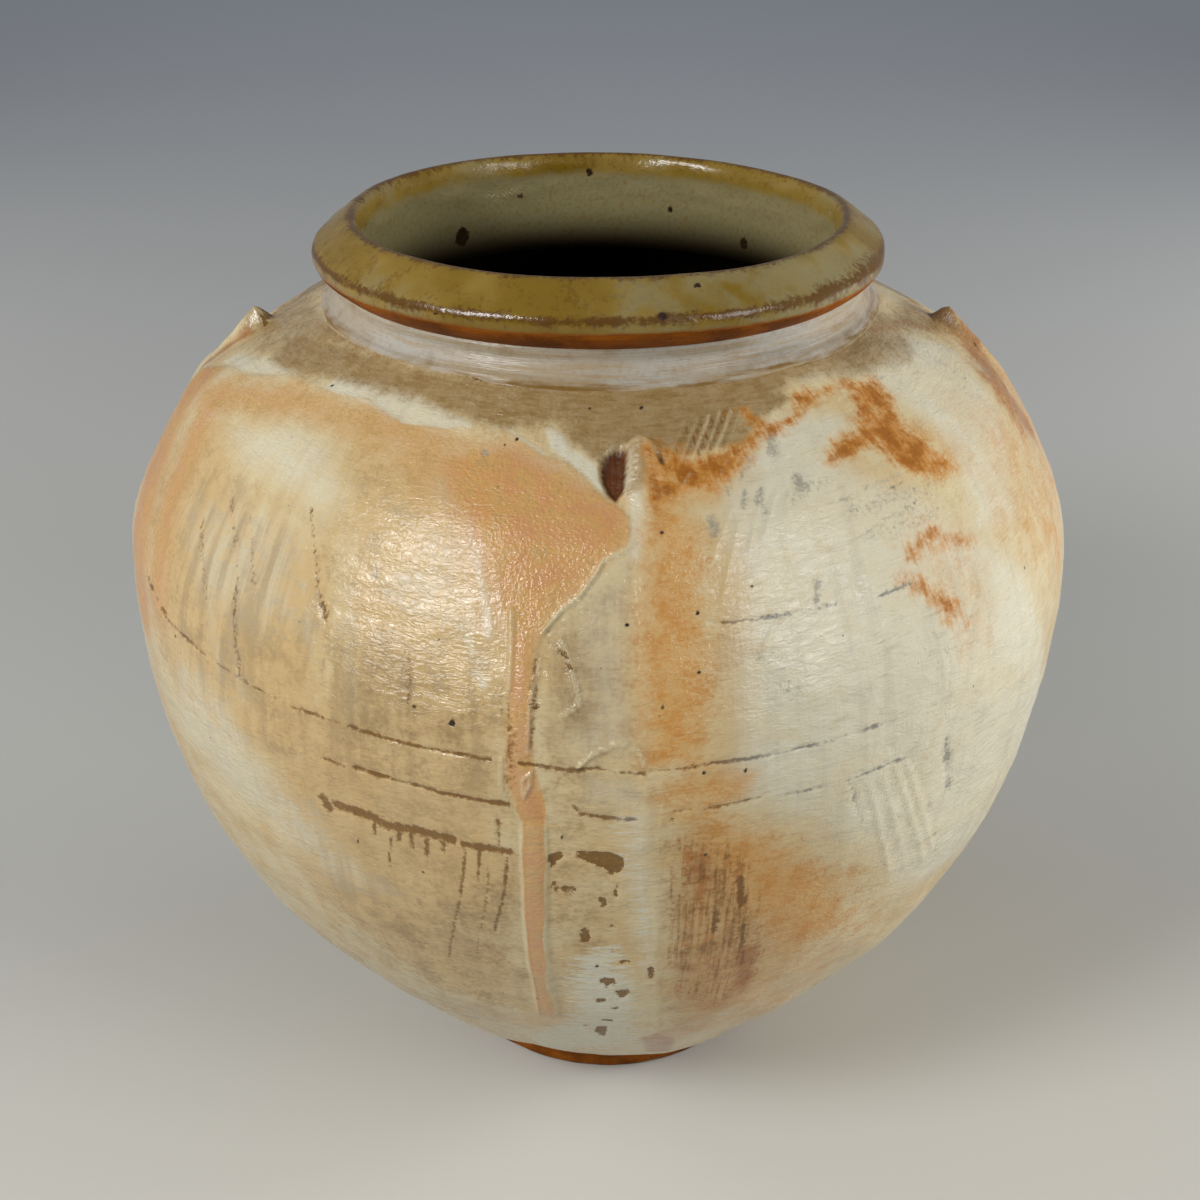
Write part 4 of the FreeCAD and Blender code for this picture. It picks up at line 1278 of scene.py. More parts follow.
def make_rib(quarter, rib):
    """A rib pinched out of the shoulder: a beak at its top that runs down into a soft crease."""
    size = sizes()
    grid = ThrownWall.get()
    wall = grid.wall
    low, high = (wall.rise_at(height) for height in RIB_ENDS)
    shape = bmesh.new()
    bmesh.ops.create_grid(shape, x_segments=76, y_segments=120, size=1.0)
    made = bmesh.ops.extrude_face_region(shape, geom=shape.faces[:], use_keep_orig=True)
    raised = [each for each in made["geom"] if isinstance(each, bmesh.types.BMVert)]
    bmesh.ops.translate(shape, vec=(0, 0, 1), verts=raised)
    blank = np.array([vertex.co[:] for vertex in shape.verts])
    rise = low + (high - low) * (blank[:, 1] + 1) / 2
    height = wall.height_at(rise)
    crease = wall.crease(height) + math.radians(90.0 * quarter) + math.radians(rib.shift)
    beside = blank[:, 0] * RIB_REACH
    turn = wrapped(crease + beside / wall.radius(crease, height))
    fields = grid.glazing.fields(turn, rise)
    lift = grid.glazing.lift(turn, rise, fields)
    drop = wall.rise_at(RIB_TOP) - rib.drop - rise
    sway = 0.5 * np.sin(rise / 7.0 + quarter)
    crest = np.interp(drop, FALL_DROPS, rib.falls)
    width = np.interp(drop, WIDTH_DROPS, rib.widths) * size.rib_half_width / MM
    bump = np.exp(-np.abs((beside - sway) / width) ** 2.2)
    edge = np.maximum(np.abs(blank[:, 0]), np.abs(blank[:, 1]) ** 1.5)
    proud = size.rib_proud / MM * rib.growth * crest * bump * smooth((1 - edge) / 0.35)
    sunk = 0.25 * (1 - smooth((1 - edge) / 0.2))
    depth = np.where(blank[:, 2] > 0.5, 0.0, RIB_THICKNESS)
    places = wall.place(turn, height, lift + proud - sunk + 0.03 - depth)
    fields["wrap"] = wrap_of(turn, rise)
    fields["crest"] = crest * bump
    settle(shape, places, weld=False)
    return finish_piece(shape, rib.name, ["jar_glaze"], fields)


class Brush:
    """Adds and links the nodes of one node tree, in plain words."""

    def __init__(self, tree):
        self.tree = tree
        self.count = 0

    def add(self, kind, **settings):
        node = self.tree.nodes.new(kind)
        node.location = (220 * (self.count // 6), -260 * (self.count % 6))
        self.count += 1
        for name, value in settings.items():
            setattr(node, name, value)
        return node

    def put(self, value, socket):
        """Links a socket to another one, or gives it a plain value, vector or tone."""
        if isinstance(value, bpy.types.NodeSocket):
            self.tree.links.new(value, socket)
        elif hasattr(value, "__len__"):
            socket.default_value = (list(value) + [1.0])[:len(socket.default_value)]
        else:
            socket.default_value = value

    def put_all(self, node, values):
        for name, value in values.items():
            self.put(value, node.inputs[name])

    def math(self, operation, first, second=0.0, third=0.0):
        node = self.add("ShaderNodeMath", operation=operation)
        for value, socket in zip((first, second, third), node.inputs):
            self.put(value, socket)
        return node.outputs[0]

    def weigh(self, *parts):
        """The sum of some values, each times its weight."""
        total = self.math("MULTIPLY", *parts[-1])
        for value, weight in reversed(parts[:-1]):
            total = self.math("MULTIPLY_ADD", value, weight, total)
        return total

    def swing(self, value, size, middle):
        """A value of noise turned into one that swings about the middle."""
        return self.math("MULTIPLY_ADD", self.math("SUBTRACT", value, 0.5), size, middle)

    def scale(self, vector, factors):
        node = self.add("ShaderNodeVectorMath", operation="MULTIPLY")
        self.put(vector, node.inputs[0])
        self.put(factors, node.inputs[1])
        return node.outputs[0]

    def noise(self, vector, scale, detail=2.0, roughness=0.5, distortion=0.0):
        node = self.add("ShaderNodeTexNoise")
        self.put_all(node, {"Vector": vector, "Scale": scale, "Detail": detail})
        self.put_all(node, {"Roughness": roughness, "Distortion": distortion})
        return node.outputs[0]

    def step(self, value, low, high, bottom=0.0, top=1.0):
        """A soft step from bottom to top as the value goes from low to high."""
        node = self.add("ShaderNodeMapRange", interpolation_type="SMOOTHSTEP")
        self.put_all(node, {"Value": value, "From Min": low, "From Max": high})
        self.put_all(node, {"To Min": bottom, "To Max": top})
        return node.outputs[0]

    def mix(self, share, below, above):
        node = self.add("ShaderNodeMix", data_type="RGBA")
        self.put(share, node.inputs[0])
        self.put(below, node.inputs[6])
        self.put(above, node.inputs[7])
        return node.outputs[2]

    def lay(self, colour, tone, mask, share):
        """Lays a tone over a colour where a mask shows it, thinned to a share."""
        return self.mix(self.math("MULTIPLY", mask, share), colour, tone)

    def field(self, name, output="Fac"):
        node = self.add("ShaderNodeAttribute", attribute_type="GEOMETRY", attribute_name=name)
        return node.outputs[output]

    def place(self):
        return self.add("ShaderNodeTexCoord").outputs["Object"]

    def group(self, tree, **values):
        node = self.add("ShaderNodeGroup", node_tree=tree)
        for name, value in values.items():
            self.put(value, node.inputs[name.capitalize()])
        return node.outputs[0]

    def mark(self, name, grain, raggedness, sharpness):
        """The mask of a kind of mark, with its edge broken by grain."""
        return ragged(self, self.field(name), grain, raggedness, sharpness)

    def finish(self, colour, roughness, height=None, specular=0.5):
        """Ends the material with its shader and a bump whose height is in metres."""
        shader = self.add("ShaderNodeBsdfPrincipled")
        self.put(colour, shader.inputs["Base Color"])
        self.put(roughness, shader.inputs["Roughness"])
        shader.inputs["Specular IOR Level"].default_value = specular
        if height is not None:
            bump = self.add("ShaderNodeBump")
            bump.inputs["Strength"].default_value = 1.0
            bump.inputs["Distance"].default_value = 1.0
            self.put(height, bump.inputs["Height"])
            self.put(bump.outputs[0], shader.inputs["Normal"])
        output = self.add("ShaderNodeOutputMaterial")
        self.put(shader.outputs[0], output.inputs[0])


def new_group(name, inputs, output):
    """A shader node group. Its inputs have the given defaults, and one without a default is a vector."""
    tree = bpy.data.node_groups.new(name, "ShaderNodeTree")
    for label, value in inputs.items():
        kind = "NodeSocketVector" if value is None else "NodeSocketFloat"
        socket = tree.interface.new_socket(name=label, in_out="INPUT", socket_type=kind)
        if value is not None:
            socket.default_value = value
    tree.interface.new_socket(name=output, in_out="OUTPUT", socket_type="NodeSocketFloat")
    brush = Brush(tree)
    return brush, brush.add("NodeGroupInput").outputs, brush.add("NodeGroupOutput").inputs[0]


def group_once(name, build):
    return bpy.data.node_groups.get(name) or build(name)


def build_ragged_edge(name):
    """A mark's field with its edge broken by grain."""
    inputs = {"Field": 0.0, "Grain": 0.5, "Raggedness": 0.5, "Sharpness": 0.5}
    brush, given, made = new_group(name, inputs, "Mask")
    spread = brush.math("MULTIPLY", brush.math("SUBTRACT", given["Grain"], 0.5), 3.0)
    shaken = brush.math("MULTIPLY_ADD", spread, given["Raggedness"], given["Field"])
    half = brush.math("MULTIPLY", brush.math("SUBTRACT", 1.0, given["Sharpness"]), 0.5)
    mask = brush.step(shaken, brush.math("SUBTRACT", 0.5, half), brush.math("ADD", 0.5, half))
    present = brush.step(given["Field"], 0.0, 0.15)
    brush.put(brush.math("MULTIPLY", mask, present), made)
    return brush.tree


def build_streaks(name):
    """Uneven streaks down the wall, from coordinates that wrap round it."""
    brush, given, made = new_group(name, {"Wrap": None, "Width": 0.004, "Stretch": 0.1}, "Streak")
    factors = brush.add("ShaderNodeCombineXYZ")
    for value, socket in zip((1.0, 1.0, given["Stretch"]), factors.inputs):
        brush.put(value, socket)
    vector = brush.scale(given["Wrap"], factors.outputs[0])
    scale = brush.math("DIVIDE", 1.0, given["Width"])
    brush.put(brush.noise(vector, scale, 3.0, 0.6), made)
    return brush.tree


def build_specks(name):
    """Scattered round specks of uneven size."""
    inputs = {"Vector": None, "Spacing": 0.006, "Size": 0.08, "Amount": 0.4}
    brush, given, made = new_group(name, inputs, "Mask")
    cells = brush.add("ShaderNodeTexVoronoi")
    scale = brush.math("DIVIDE", 1.0, given["Spacing"])
    brush.put_all(cells, {"Vector": given["Vector"], "Scale": scale, "Randomness": 1.0})
    parts = brush.add("ShaderNodeSeparateColor")
    brush.put(cells.outputs["Color"], parts.inputs[0])
    chosen = brush.math("LESS_THAN", parts.outputs[0], given["Amount"])
    size = brush.math("MULTIPLY", given["Size"], brush.math("ADD", 0.4, parts.outputs[1]))
    dot = brush.step(cells.outputs["Distance"], size, brush.math("MULTIPLY", size, 0.5))
    brush.put(brush.math("MULTIPLY", dot, chosen), made)
    return brush.tree


def build_skin(name):
    """Fine waves and orange peel of a fired glaze, as a height."""
    brush, given, made = new_group(name, {"Wrap": None, "Wrinkle": 1.0, "Peel": 1.0}, "Height")
    flat = brush.scale(given["Wrap"], (0.45, 0.45, 1.0))
    wrinkle = brush.noise(flat, 700.0, 4.0, 0.6, 0.6)
    peel = brush.noise(given["Wrap"], 1250.0, 2.0, 0.55)
    wrinkled = brush.math("MULTIPLY", given["Wrinkle"], 0.00026)
    height = brush.math("MULTIPLY", brush.math("SUBTRACT", wrinkle, 0.5), wrinkled)
    peeled = brush.math("MULTIPLY", given["Peel"], 0.00012)
    brush.put(brush.swing(peel, peeled, height), made)
    return brush.tree


def ragged(brush, field, grain, raggedness, sharpness):
    tree = group_once("ragged_edge", build_ragged_edge)
    return brush.group(tree, field=field, grain=grain, raggedness=raggedness, sharpness=sharpness)


def specks(brush, vector, spacing, size, amount):
    tree = group_once("specks", build_specks)
    return brush.group(tree, vector=vector, spacing=spacing, size=size, amount=amount)


def streaks(brush, wrap, width, stretch):
    tree = group_once("streaks", build_streaks)
    return brush.group(tree, wrap=wrap, width=width, stretch=stretch)


def skin(brush, wrap, wrinkle, peel):
    tree = group_once("glaze_skin", build_skin)
    return brush.group(tree, wrap=wrap, wrinkle=wrinkle, peel=peel)


def paint_body(brush, tone):
    """The body glaze: cream and buff, peach flow, white slip, flushes, combing and iron specks, with a
    painted highlight and painted shade.
    """
    wrap = brush.field("wrap", "Vector")
    blotch = brush.noise(wrap, 42.0, 3.0, 0.55)
    mottle = brush.noise(wrap, 190.0, 4.0, 0.65)
    grain = brush.noise(wrap, 1000.0, 3.0, 0.65)
    wide = streaks(brush, wrap, 0.0042, 0.1)
    fine = streaks(brush, wrap, 0.0009, 0.06)
    brushed = brush.noise(brush.scale(wrap, (0.2, 0.2, 1.0)), 800.0, 3.0, 0.65)
    shaken = brush.weigh((mottle, 0.6), (grain, 0.4))
    streaked = brush.weigh((wide, 0.4), (fine, 0.6))
    white_field = brush.field("white")

    cloud = brush.weigh((blotch, 0.5), (wide, 0.25), (mottle, 0.25))
    colour = brush.mix(brush.step(cloud, 0.44, 0.62, 0.0, 0.75), tone.cream, tone.buff)
    buff = brush.mark("buff", shaken, 0.4, 0.0)
    thicker = brush.mix(brush.step(shaken, 0.44, 0.66, 0.0, 0.6), tone.buff, tone.tan)
    colour = brush.lay(colour, thicker, buff, 0.85)
    colour = brush.mix(brush.step(shaken, 0.5, 0.62, 0.0, 0.2), colour, tone.tan)

    # White slip, and the painted highlight on the left lobe that shares its mask.
    white = ragged(brush, white_field, brush.weigh((streaked, 0.3), (shaken, 0.7)), 0.9, 0.1)
    pale = brush.mix(brush.step(blotch, 0.45, 0.65, 0.0, 0.35), tone.white, tone.cream)
    pale = brush.mix(brush.step(mottle, 0.5, 0.7, 0.0, 0.35), pale, tone.cream)
    pale = brush.mix(brush.step(brushed, 0.57, 0.7, 0.0, 0.3), pale, tone.grey)
    pale = brush.mix(brush.step(wide, 0.5, 0.68, 0.0, 0.16), pale, tone.grey)
    colour = brush.lay(colour, pale, white, 0.96)

    drawn = brush.weigh((wide, 0.6), (shaken, 0.4))
    streaky = brush.math("MULTIPLY", brush.field("streaky"), brush.step(drawn, 0.44, 0.6))
    colour = brush.lay(colour, tone.tan, streaky, 0.8)
    tan = brush.mark("tan", shaken, 0.45, 0.0)
    wiped = brush.weigh((brushed, 0.5), (shaken, 0.5))
    wiped_tone = brush.mix(brush.step(wiped, 0.38, 0.66, 0.12, 0.7), tone.tan, tone.umber)
    colour = brush.lay(colour, wiped_tone, tan, 0.95)

    orange = brush.mark("orange", shaken, 0.4, 0.0)
    flushed = brush.mix(brush.step(shaken, 0.42, 0.62), tone.orange, tone.ember)
    colour = brush.lay(colour, flushed, orange, 0.85)
    flow = brush.mark("flow", grain, 0.1, 0.6)
    warm = brush.mark("warm", shaken, 0.3, 0.0)
    peach = brush.math("MULTIPLY", flow, warm)
    peach_tone = brush.mix(brush.step(mottle, 0.38, 0.62), tone.peach, tone.orange)
    colour = brush.lay(colour, peach_tone, peach, 0.92)
    colour = brush.lay(colour, tone.tan, peach, brush.step(shaken, 0.46, 0.64, 0.0, 0.45))
    colour = brush.lay(colour, tone.wash, brush.field("run"), 0.1)

    rust_field = brush.field("rust")
    feathered = brush.weigh((streaked, 0.3), (mottle, 0.55), (grain, 0.15))
    flame = ragged(brush, brush.math("MULTIPLY", rust_field, 0.95), feathered, 1.3, 0.0)
    colour = brush.lay(colour, tone.ember, flame, 0.85)
    rust = ragged(brush, brush.math("SUBTRACT", rust_field, 0.34), feathered, 1.7, 0.1)
    rust_tone = brush.mix(brush.step(mottle, 0.44, 0.6), tone.rust, tone.deep_rust)
    colour = brush.lay(colour, rust_tone, rust, 0.8)
    colour = brush.lay(colour, tone.redden, brush.mark("redden", shaken, 0.6, 0.0), 0.75)

    combed = brush.mark("combed", brush.weigh((fine, 0.7), (grain, 0.3)), 1.7, 0.1)
    combed_tone = brush.mix(brush.step(mottle, 0.42, 0.58), tone.rust, tone.brown)
    colour = brush.lay(colour, combed_tone, combed, 0.7)
    brown = brush.mark("brown", brush.weigh((grain, 0.45), (streaked, 0.55)), 1.1, 0.35)
    colour = brush.lay(colour, tone.brown, brown, 0.85)
    wash = brush.mark("wash", brushed, 1.5, 0.15)
    colour = brush.lay(colour, tone.wash, wash, 0.8)
    colour = brush.lay(colour, tone.cream, brush.mark("ridge", grain, 0.4, 0.2), 0.7)
    colour = brush.lay(colour, tone.grey, brush.mark("grey", grain, 0.8, 0.1), 0.85)

    score_tone = brush.mix(white_field, tone.brown, tone.slate)
    colour = brush.lay(colour, score_tone, brush.mark("score", shaken, 1.3, 0.3), 0.85)
    # Bare chips, and the painted shade lines at the tops of the side nubs.
    chip_and_shade = brush.mark("chip_and_shade", shaken, 1.7, 0.6)
    chip_and_shade_tone = brush.mix(brush.step(grain, 0.4, 0.6), tone.umber, tone.brown)
    colour = brush.lay(colour, chip_and_shade_tone, chip_and_shade, 0.92)
    # The hollows: bare clay mixed towards near black, painted shade in the recesses beside the nubs.
    hollow = brush.mark("hollow", grain, 0.3, 0.2)
    hollow_tone = brush.mix(brush.step(streaked, 0.4, 0.62, 0.0, 0.6), tone.hollow, tone.dark)
    colour = brush.mix(hollow, colour, hollow_tone)

    speck = brush.mark("speck", grain, 0.2, 0.5)
    pits = brush.math("MULTIPLY", specks(brush, wrap, 0.0042, 0.1, 0.3), tan)
    scattered = brush.math("MAXIMUM", specks(brush, wrap, 0.0085, 0.05, 0.35), pits)
    iron = brush.math("MAXIMUM", speck, brush.math("MULTIPLY", scattered, 0.8))
    small = brush.math("MULTIPLY", specks(brush, wrap, 0.0032, 0.07, 0.12), 0.5)
    colour = brush.mix(brush.math("MAXIMUM", iron, small), colour, tone.dark)
    solid = brush.math("SUBTRACT", 1.0, brush.field("hollow"))
    crest = brush.math("MULTIPLY", brush.field("crest"), solid)
    colour = brush.lay(colour, tone.cream, crest, brush.step(brushed, 0.45, 0.6, 0.0, 0.4))

    rough = brush.swing(mottle, 0.3, 0.2)
    rough = brush.math("MULTIPLY_ADD", brush.math("MAXIMUM", hollow, wash), 0.25, rough)
    wrinkle = brush.math("SUBTRACT", 1.35, brush.math("MULTIPLY", peach, 0.5))
    peel = brush.math("MULTIPLY_ADD", brush.math("MAXIMUM", peach, orange), 1.7, 0.9)
    height = skin(brush, wrap, wrinkle, peel)
    height = brush.swing(brushed, 0.00006, height)
    height = brush.swing(fine, 0.00008, height)
    bare = brush.math("ADD", brush.math("ADD", chip_and_shade, speck), brush.math("ADD", brown, combed))
    height = brush.math("MULTIPLY_ADD", bare, -0.0001, height)
    brush.finish(colour, rough, height, specular=0.42)


def paint_lining(brush, tone):
    """The glaze inside: speckled grey green, with painted shade that darkens it deep in the jar."""
    place = brush.place()
    mottle = brush.noise(place, 160.0, 4.0, 0.65)
    grain = brush.noise(place, 900.0, 3.0, 0.6)
    parts = brush.add("ShaderNodeSeparateXYZ")
    brush.put(place, parts.inputs[0])
    # Painted shade: the lining darkens below the neck, where little light reaches.
    deep = brush.step(parts.outputs[2], 0.236, 0.216)
    colour = brush.mix(brush.step(mottle, 0.45, 0.75, 0.0, 0.3), tone.lining, tone.ochre)
    colour = brush.mix(brush.step(grain, 0.45, 0.7, 0.0, 0.4), colour, tone.umber)
    colour = brush.mix(specks(brush, place, 0.012, 0.12, 0.4), colour, tone.dark)
    colour = brush.mix(deep, colour, tone.lining_shade)
    rough = brush.math("MULTIPLY_ADD", mottle, 0.2, 0.3)
    brush.finish(colour, rough, brush.swing(mottle, 0.0003, 0.0))


def paint_rim(brush, tone):
    """The ash glaze of the rim: olive and ochre, burnt at its edges, with a few iron specks."""
    place = brush.place()
    mottle = brush.noise(place, 150.0, 4.0, 0.65)
    grain = brush.noise(place, 800.0, 3.0, 0.65)
    blotch = brush.noise(place, 34.0, 3.0, 0.6)
    shaken = brush.weigh((mottle, 0.5), (grain, 0.5))
    colour = brush.mix(brush.step(blotch, 0.4, 0.62), tone.olive, tone.ochre)
    colour = brush.mix(brush.step(blotch, 0.56, 0.66, 0.0, 0.5), colour, tone.lining)
    colour = brush.mix(brush.step(shaken, 0.5, 0.62, 0.0, 0.4), colour, tone.burnt)
    patchy = brush.weigh((blotch, 0.6), (mottle, 0.4))
    pale = ragged(brush, brush.math("MULTIPLY", brush.field("pale"), 0.8), patchy, 1.8, 0.1)
    colour = brush.lay(colour, tone.lining, pale, 0.7)
    colour = brush.lay(colour, tone.burnt, brush.mark("edge", shaken, 1.3, 0.1), 0.9)
    under = brush.mark("under", mottle, 0.5, 0.3)
    colour = brush.mix(under, colour, brush.mix(mottle, tone.clay, tone.clay_dark))
    inner = brush.mix(brush.step(mottle, 0.5, 0.75, 0.0, 0.25), tone.lining, tone.ochre)
    inner = brush.mix(brush.step(grain, 0.45, 0.7, 0.0, 0.4), inner, tone.umber)
    colour = brush.mix(brush.mark("lining", shaken, 0.9, 0.1), colour, inner)
    # Painted shade: the rim's lining darkens down into the mouth.
    colour = brush.mix(brush.field("deep"), colour, tone.lining_shade)
    colour = brush.mix(specks(brush, place, 0.014, 0.1, 0.3), colour, tone.dark)
    colour = brush.mix(brush.mark("spot", grain, 0.6, 0.3), colour, tone.dark)
    rough = brush.math("MULTIPLY_ADD", mottle, 0.25, 0.08)
    height = brush.swing(grain, 0.00012, brush.swing(mottle, 0.0003, 0.0))
    brush.finish(colour, rough, height, specular=0.4)


def paint_slip(brush, tone):
    """The white slip of the neck, with fine throwing rings."""
    place = brush.place()
    rings = brush.noise(brush.scale(place, (0.04, 0.04, 1.0)), 900.0, 4.0, 0.7)
    mottle = brush.noise(place, 120.0, 3.0, 0.6)
    grain = brush.noise(place, 800.0, 3.0, 0.6)
    rubbed = brush.noise(place, 26.0, 2.0, 0.5)
    colour = brush.mix(brush.step(rings, 0.46, 0.64, 0.0, 0.6), tone.slip, tone.tan)
    colour = brush.mix(brush.step(rubbed, 0.42, 0.62, 0.0, 0.4), colour, tone.tan)
    colour = brush.mix(brush.step(mottle, 0.5, 0.75, 0.0, 0.35), colour, tone.umber)
    colour = brush.mix(brush.step(grain, 0.45, 0.75, 0.0, 0.25), colour, tone.umber)
    worn = brush.weigh((rings, 0.5), (mottle, 0.5))
    edge = ragged(brush, brush.math("MULTIPLY", brush.field("edge"), 0.9), worn, 1.2, 0.0)
    edge_tone = brush.mix(brush.step(rings, 0.45, 0.6), tone.tan, tone.umber)
    colour = brush.lay(colour, edge_tone, edge, 0.9)
    colour = brush.mix(specks(brush, place, 0.006, 0.07, 0.4), colour, tone.dark)
    brush.finish(colour, 0.33, brush.swing(rings, 0.0004, 0.0))


def paint_clay(brush, tone):
    """Bare fired clay of the foot, turned and rubbed."""
    place = brush.place()
    rings = brush.noise(brush.scale(place, (0.05, 0.05, 1.0)), 1400.0, 3.0, 0.6)
    mottle = brush.noise(place, 90.0, 4.0, 0.6)
    grain = brush.noise(place, 1500.0, 3.0, 0.7)
    colour = brush.mix(brush.step(mottle, 0.35, 0.65), tone.clay, tone.clay_dark)
    colour = brush.mix(brush.step(rings, 0.45, 0.7, 0.0, 0.35), colour, tone.clay_dark)
    colour = brush.mix(specks(brush, place, 0.005, 0.1, 0.3), colour, tone.dark)
    height = brush.swing(rings, 0.0003, brush.swing(grain, 0.00025, 0.0))
    brush.finish(colour, 0.62, height, specular=0.15)


def paint_floor(brush, tone):
    """A plain floor that grows greyer and bluer with distance."""
    parts = brush.add("ShaderNodeSeparateXYZ")
    brush.put(brush.place(), parts.inputs[0])
    near = brush.step(parts.outputs[1], -0.12, 0.1)
    far = brush.step(parts.outputs[1], 0.2, 2.4)
    colour = brush.mix(near, tone.near_tone, tone.mid_tone)
    colour = brush.mix(far, colour, tone.far_tone)
    brush.finish(colour, 0.9, specular=0.1)


COATS = {
    "jar_glaze": paint_body,
    "lining_glaze": paint_lining,
    "rim_ash_glaze": paint_rim,
    "neck_slip": paint_slip,
    "turned_clay": paint_clay,
}


def new_material(name, paint, chosen_tones):
    """A material of nodes, painted with the given tones."""
    material = bpy.data.materials.new(name)
    material.use_nodes = True
    material.node_tree.nodes.clear()
    paint(Brush(material.node_tree), chosen_tones)
    return material


def coat(name):
    """One of the jar's coats, made when a piece first asks for it."""
    return bpy.data.materials.get(name) or new_material(name, COATS[name], tones())


class JAR_OT_bowls(bpy.types.Operator):
    """Makes the lower and upper bowls and the seam that joins them at the belly"""

    bl_idname = "jar.bowls"
    bl_label = "Bowls and belly seam"

    def execute(self, context):
        size = sizes()
        grid = ThrownWall.get()
        low_cut, high_cut = grid.cuts
        seam_bottom, seam_top = size.seam_bottom / MM, size.seam_top / MM
        lean = grid.wall.lean(grid.wall.low)
        underside = [grid.ring(CENTRE, grid.wall.low, lean), grid.ring(UNDERSIDE_RADIUS, grid.wall.low, lean)]
        floor = [grid.ring(FLOOR_RADIUS, FLOOR_HEIGHT, lean), grid.ring(CENTRE, FLOOR_HEIGHT, lean)]
        inside = grid.inner(seam_bottom, *LOWER_INSIDE_HEIGHTS)
        make_wall_piece("lower_bowl", 0, low_cut, underside, inside + floor)
        make_wall_piece("belly_seam", low_cut, high_cut, [], grid.inner(seam_top, seam_bottom))
        inside = grid.inner(*UPPER_INSIDE_HEIGHTS, seam_top)
        neck_seat = [grid.ring(NECK_SEAT_RADIUS, grid.wall.high)]
        make_wall_piece("upper_bowl", high_cut, len(grid.rises) - 1, [], neck_seat + inside)
        return {"FINISHED"}


class JAR_OT_ribs(bpy.types.Operator):
    """Makes the four ribs that are pinched out of the shoulder"""

    bl_idname = "jar.ribs"
    bl_label = "Pinched ribs"

    def execute(self, context):
        for quarter, rib in enumerate(RIBS):
            make_rib(quarter, rib)
        return {"FINISHED"}


class JAR_OT_rim(bpy.types.Operator):
    """Makes the thick everted rim and the glaze that lines the mouth"""

    bl_idname = "jar.rim"
    bl_label = "Rim"

    def execute(self, context):
        wall = ThrownWall.get().wall
        stations = np.array(RIM_STATIONS)
        steps = running_sum(np.hypot(*np.diff(stations, axis=0).T))
        fine = np.linspace(0, steps[-1], RIM_ROWS)
        back_radii, back_heights = np.array(RIM_BACK).T
        radii = np.append(curve_through(steps, stations[:, 0])(fine), back_radii)
        heights = np.append(curve_through(steps, stations[:, 1])(fine), back_heights)
        shape, row, column = rolled_blank(len(radii), RIM_COLUMNS)
        turn = even_turns(column, RIM_COLUMNS)
        radius, height = radii[row], heights[row]
        spread = round_the_axis(turn, 70.0, height)
        shown = row < RIM_ROWS
        swell = 0.22 * ripple(spread, 60.0, 21) + 0.1 * ripple(spread * (1, 1, 2.5), 14.0, 22)
        lip = smooth((height - 236.0) / 6.0)
        radius = radius + np.where(shown, swell * lip, 0.0)
        height = height + np.where(shown, 0.25 * ripple(spread * (1, 1, 0), 90.0, 23) * lip, 0.0)
        at = fine[np.minimum(row, RIM_ROWS - 1)]
        under_end, corner, crest, lining = steps[list(RIM_LINES)]
        burnt = 1.1 + 1.7 * bell(turn, 1.1, 0.4)
        fields = {
            "edge": np.maximum(bell(at, corner, burnt), 0.9 * bell(at, crest, 1.3)) * shown,
            "pale": bell(turn, 0.66, 0.5) * shown,
            "spot": self.spots(turn, radius, height, at > crest) * shown,
            "under": smooth((under_end - at) / 1.6 + 0.5) * shown,
            "lining": smooth((at - lining) / 4.5) * shown,
            # Painted shade: how far the lining of the mouth is darkened down into the jar.
            "deep": smooth((238.0 - heights[row]) / 14.0) * (radii[row] < 67),
        }
        settle(shape, round_the_axis(turn, radius, height, wall.lean(240.0)))
        for face, levels in kept_rows(shape, row):
            farthest = fine[min(max(levels), RIM_ROWS - 1)]
            face.material_index = int(farthest < under_end - 0.4)
        finish_piece(shape, "rim", ["rim_ash_glaze", "turned_clay"], fields)
        return {"FINISHED"}

    def spots(self, turn, radius, height, mouth):
        """The field of the iron spots, each either inside the mouth or outside it."""
        spot = np.zeros(turn.shape)
        for spot_turn, spot_height, half_width, inside in RIM_SPOTS:
            beside = wrapped(turn - math.radians(spot_turn))
            away = np.hypot(beside * radius, (height - spot_height) * (0.8 if inside else 2.2))
            spot = np.maximum(spot, smooth((half_width + 0.5 - away) / 0.9) * (mouth == inside))
        return spot


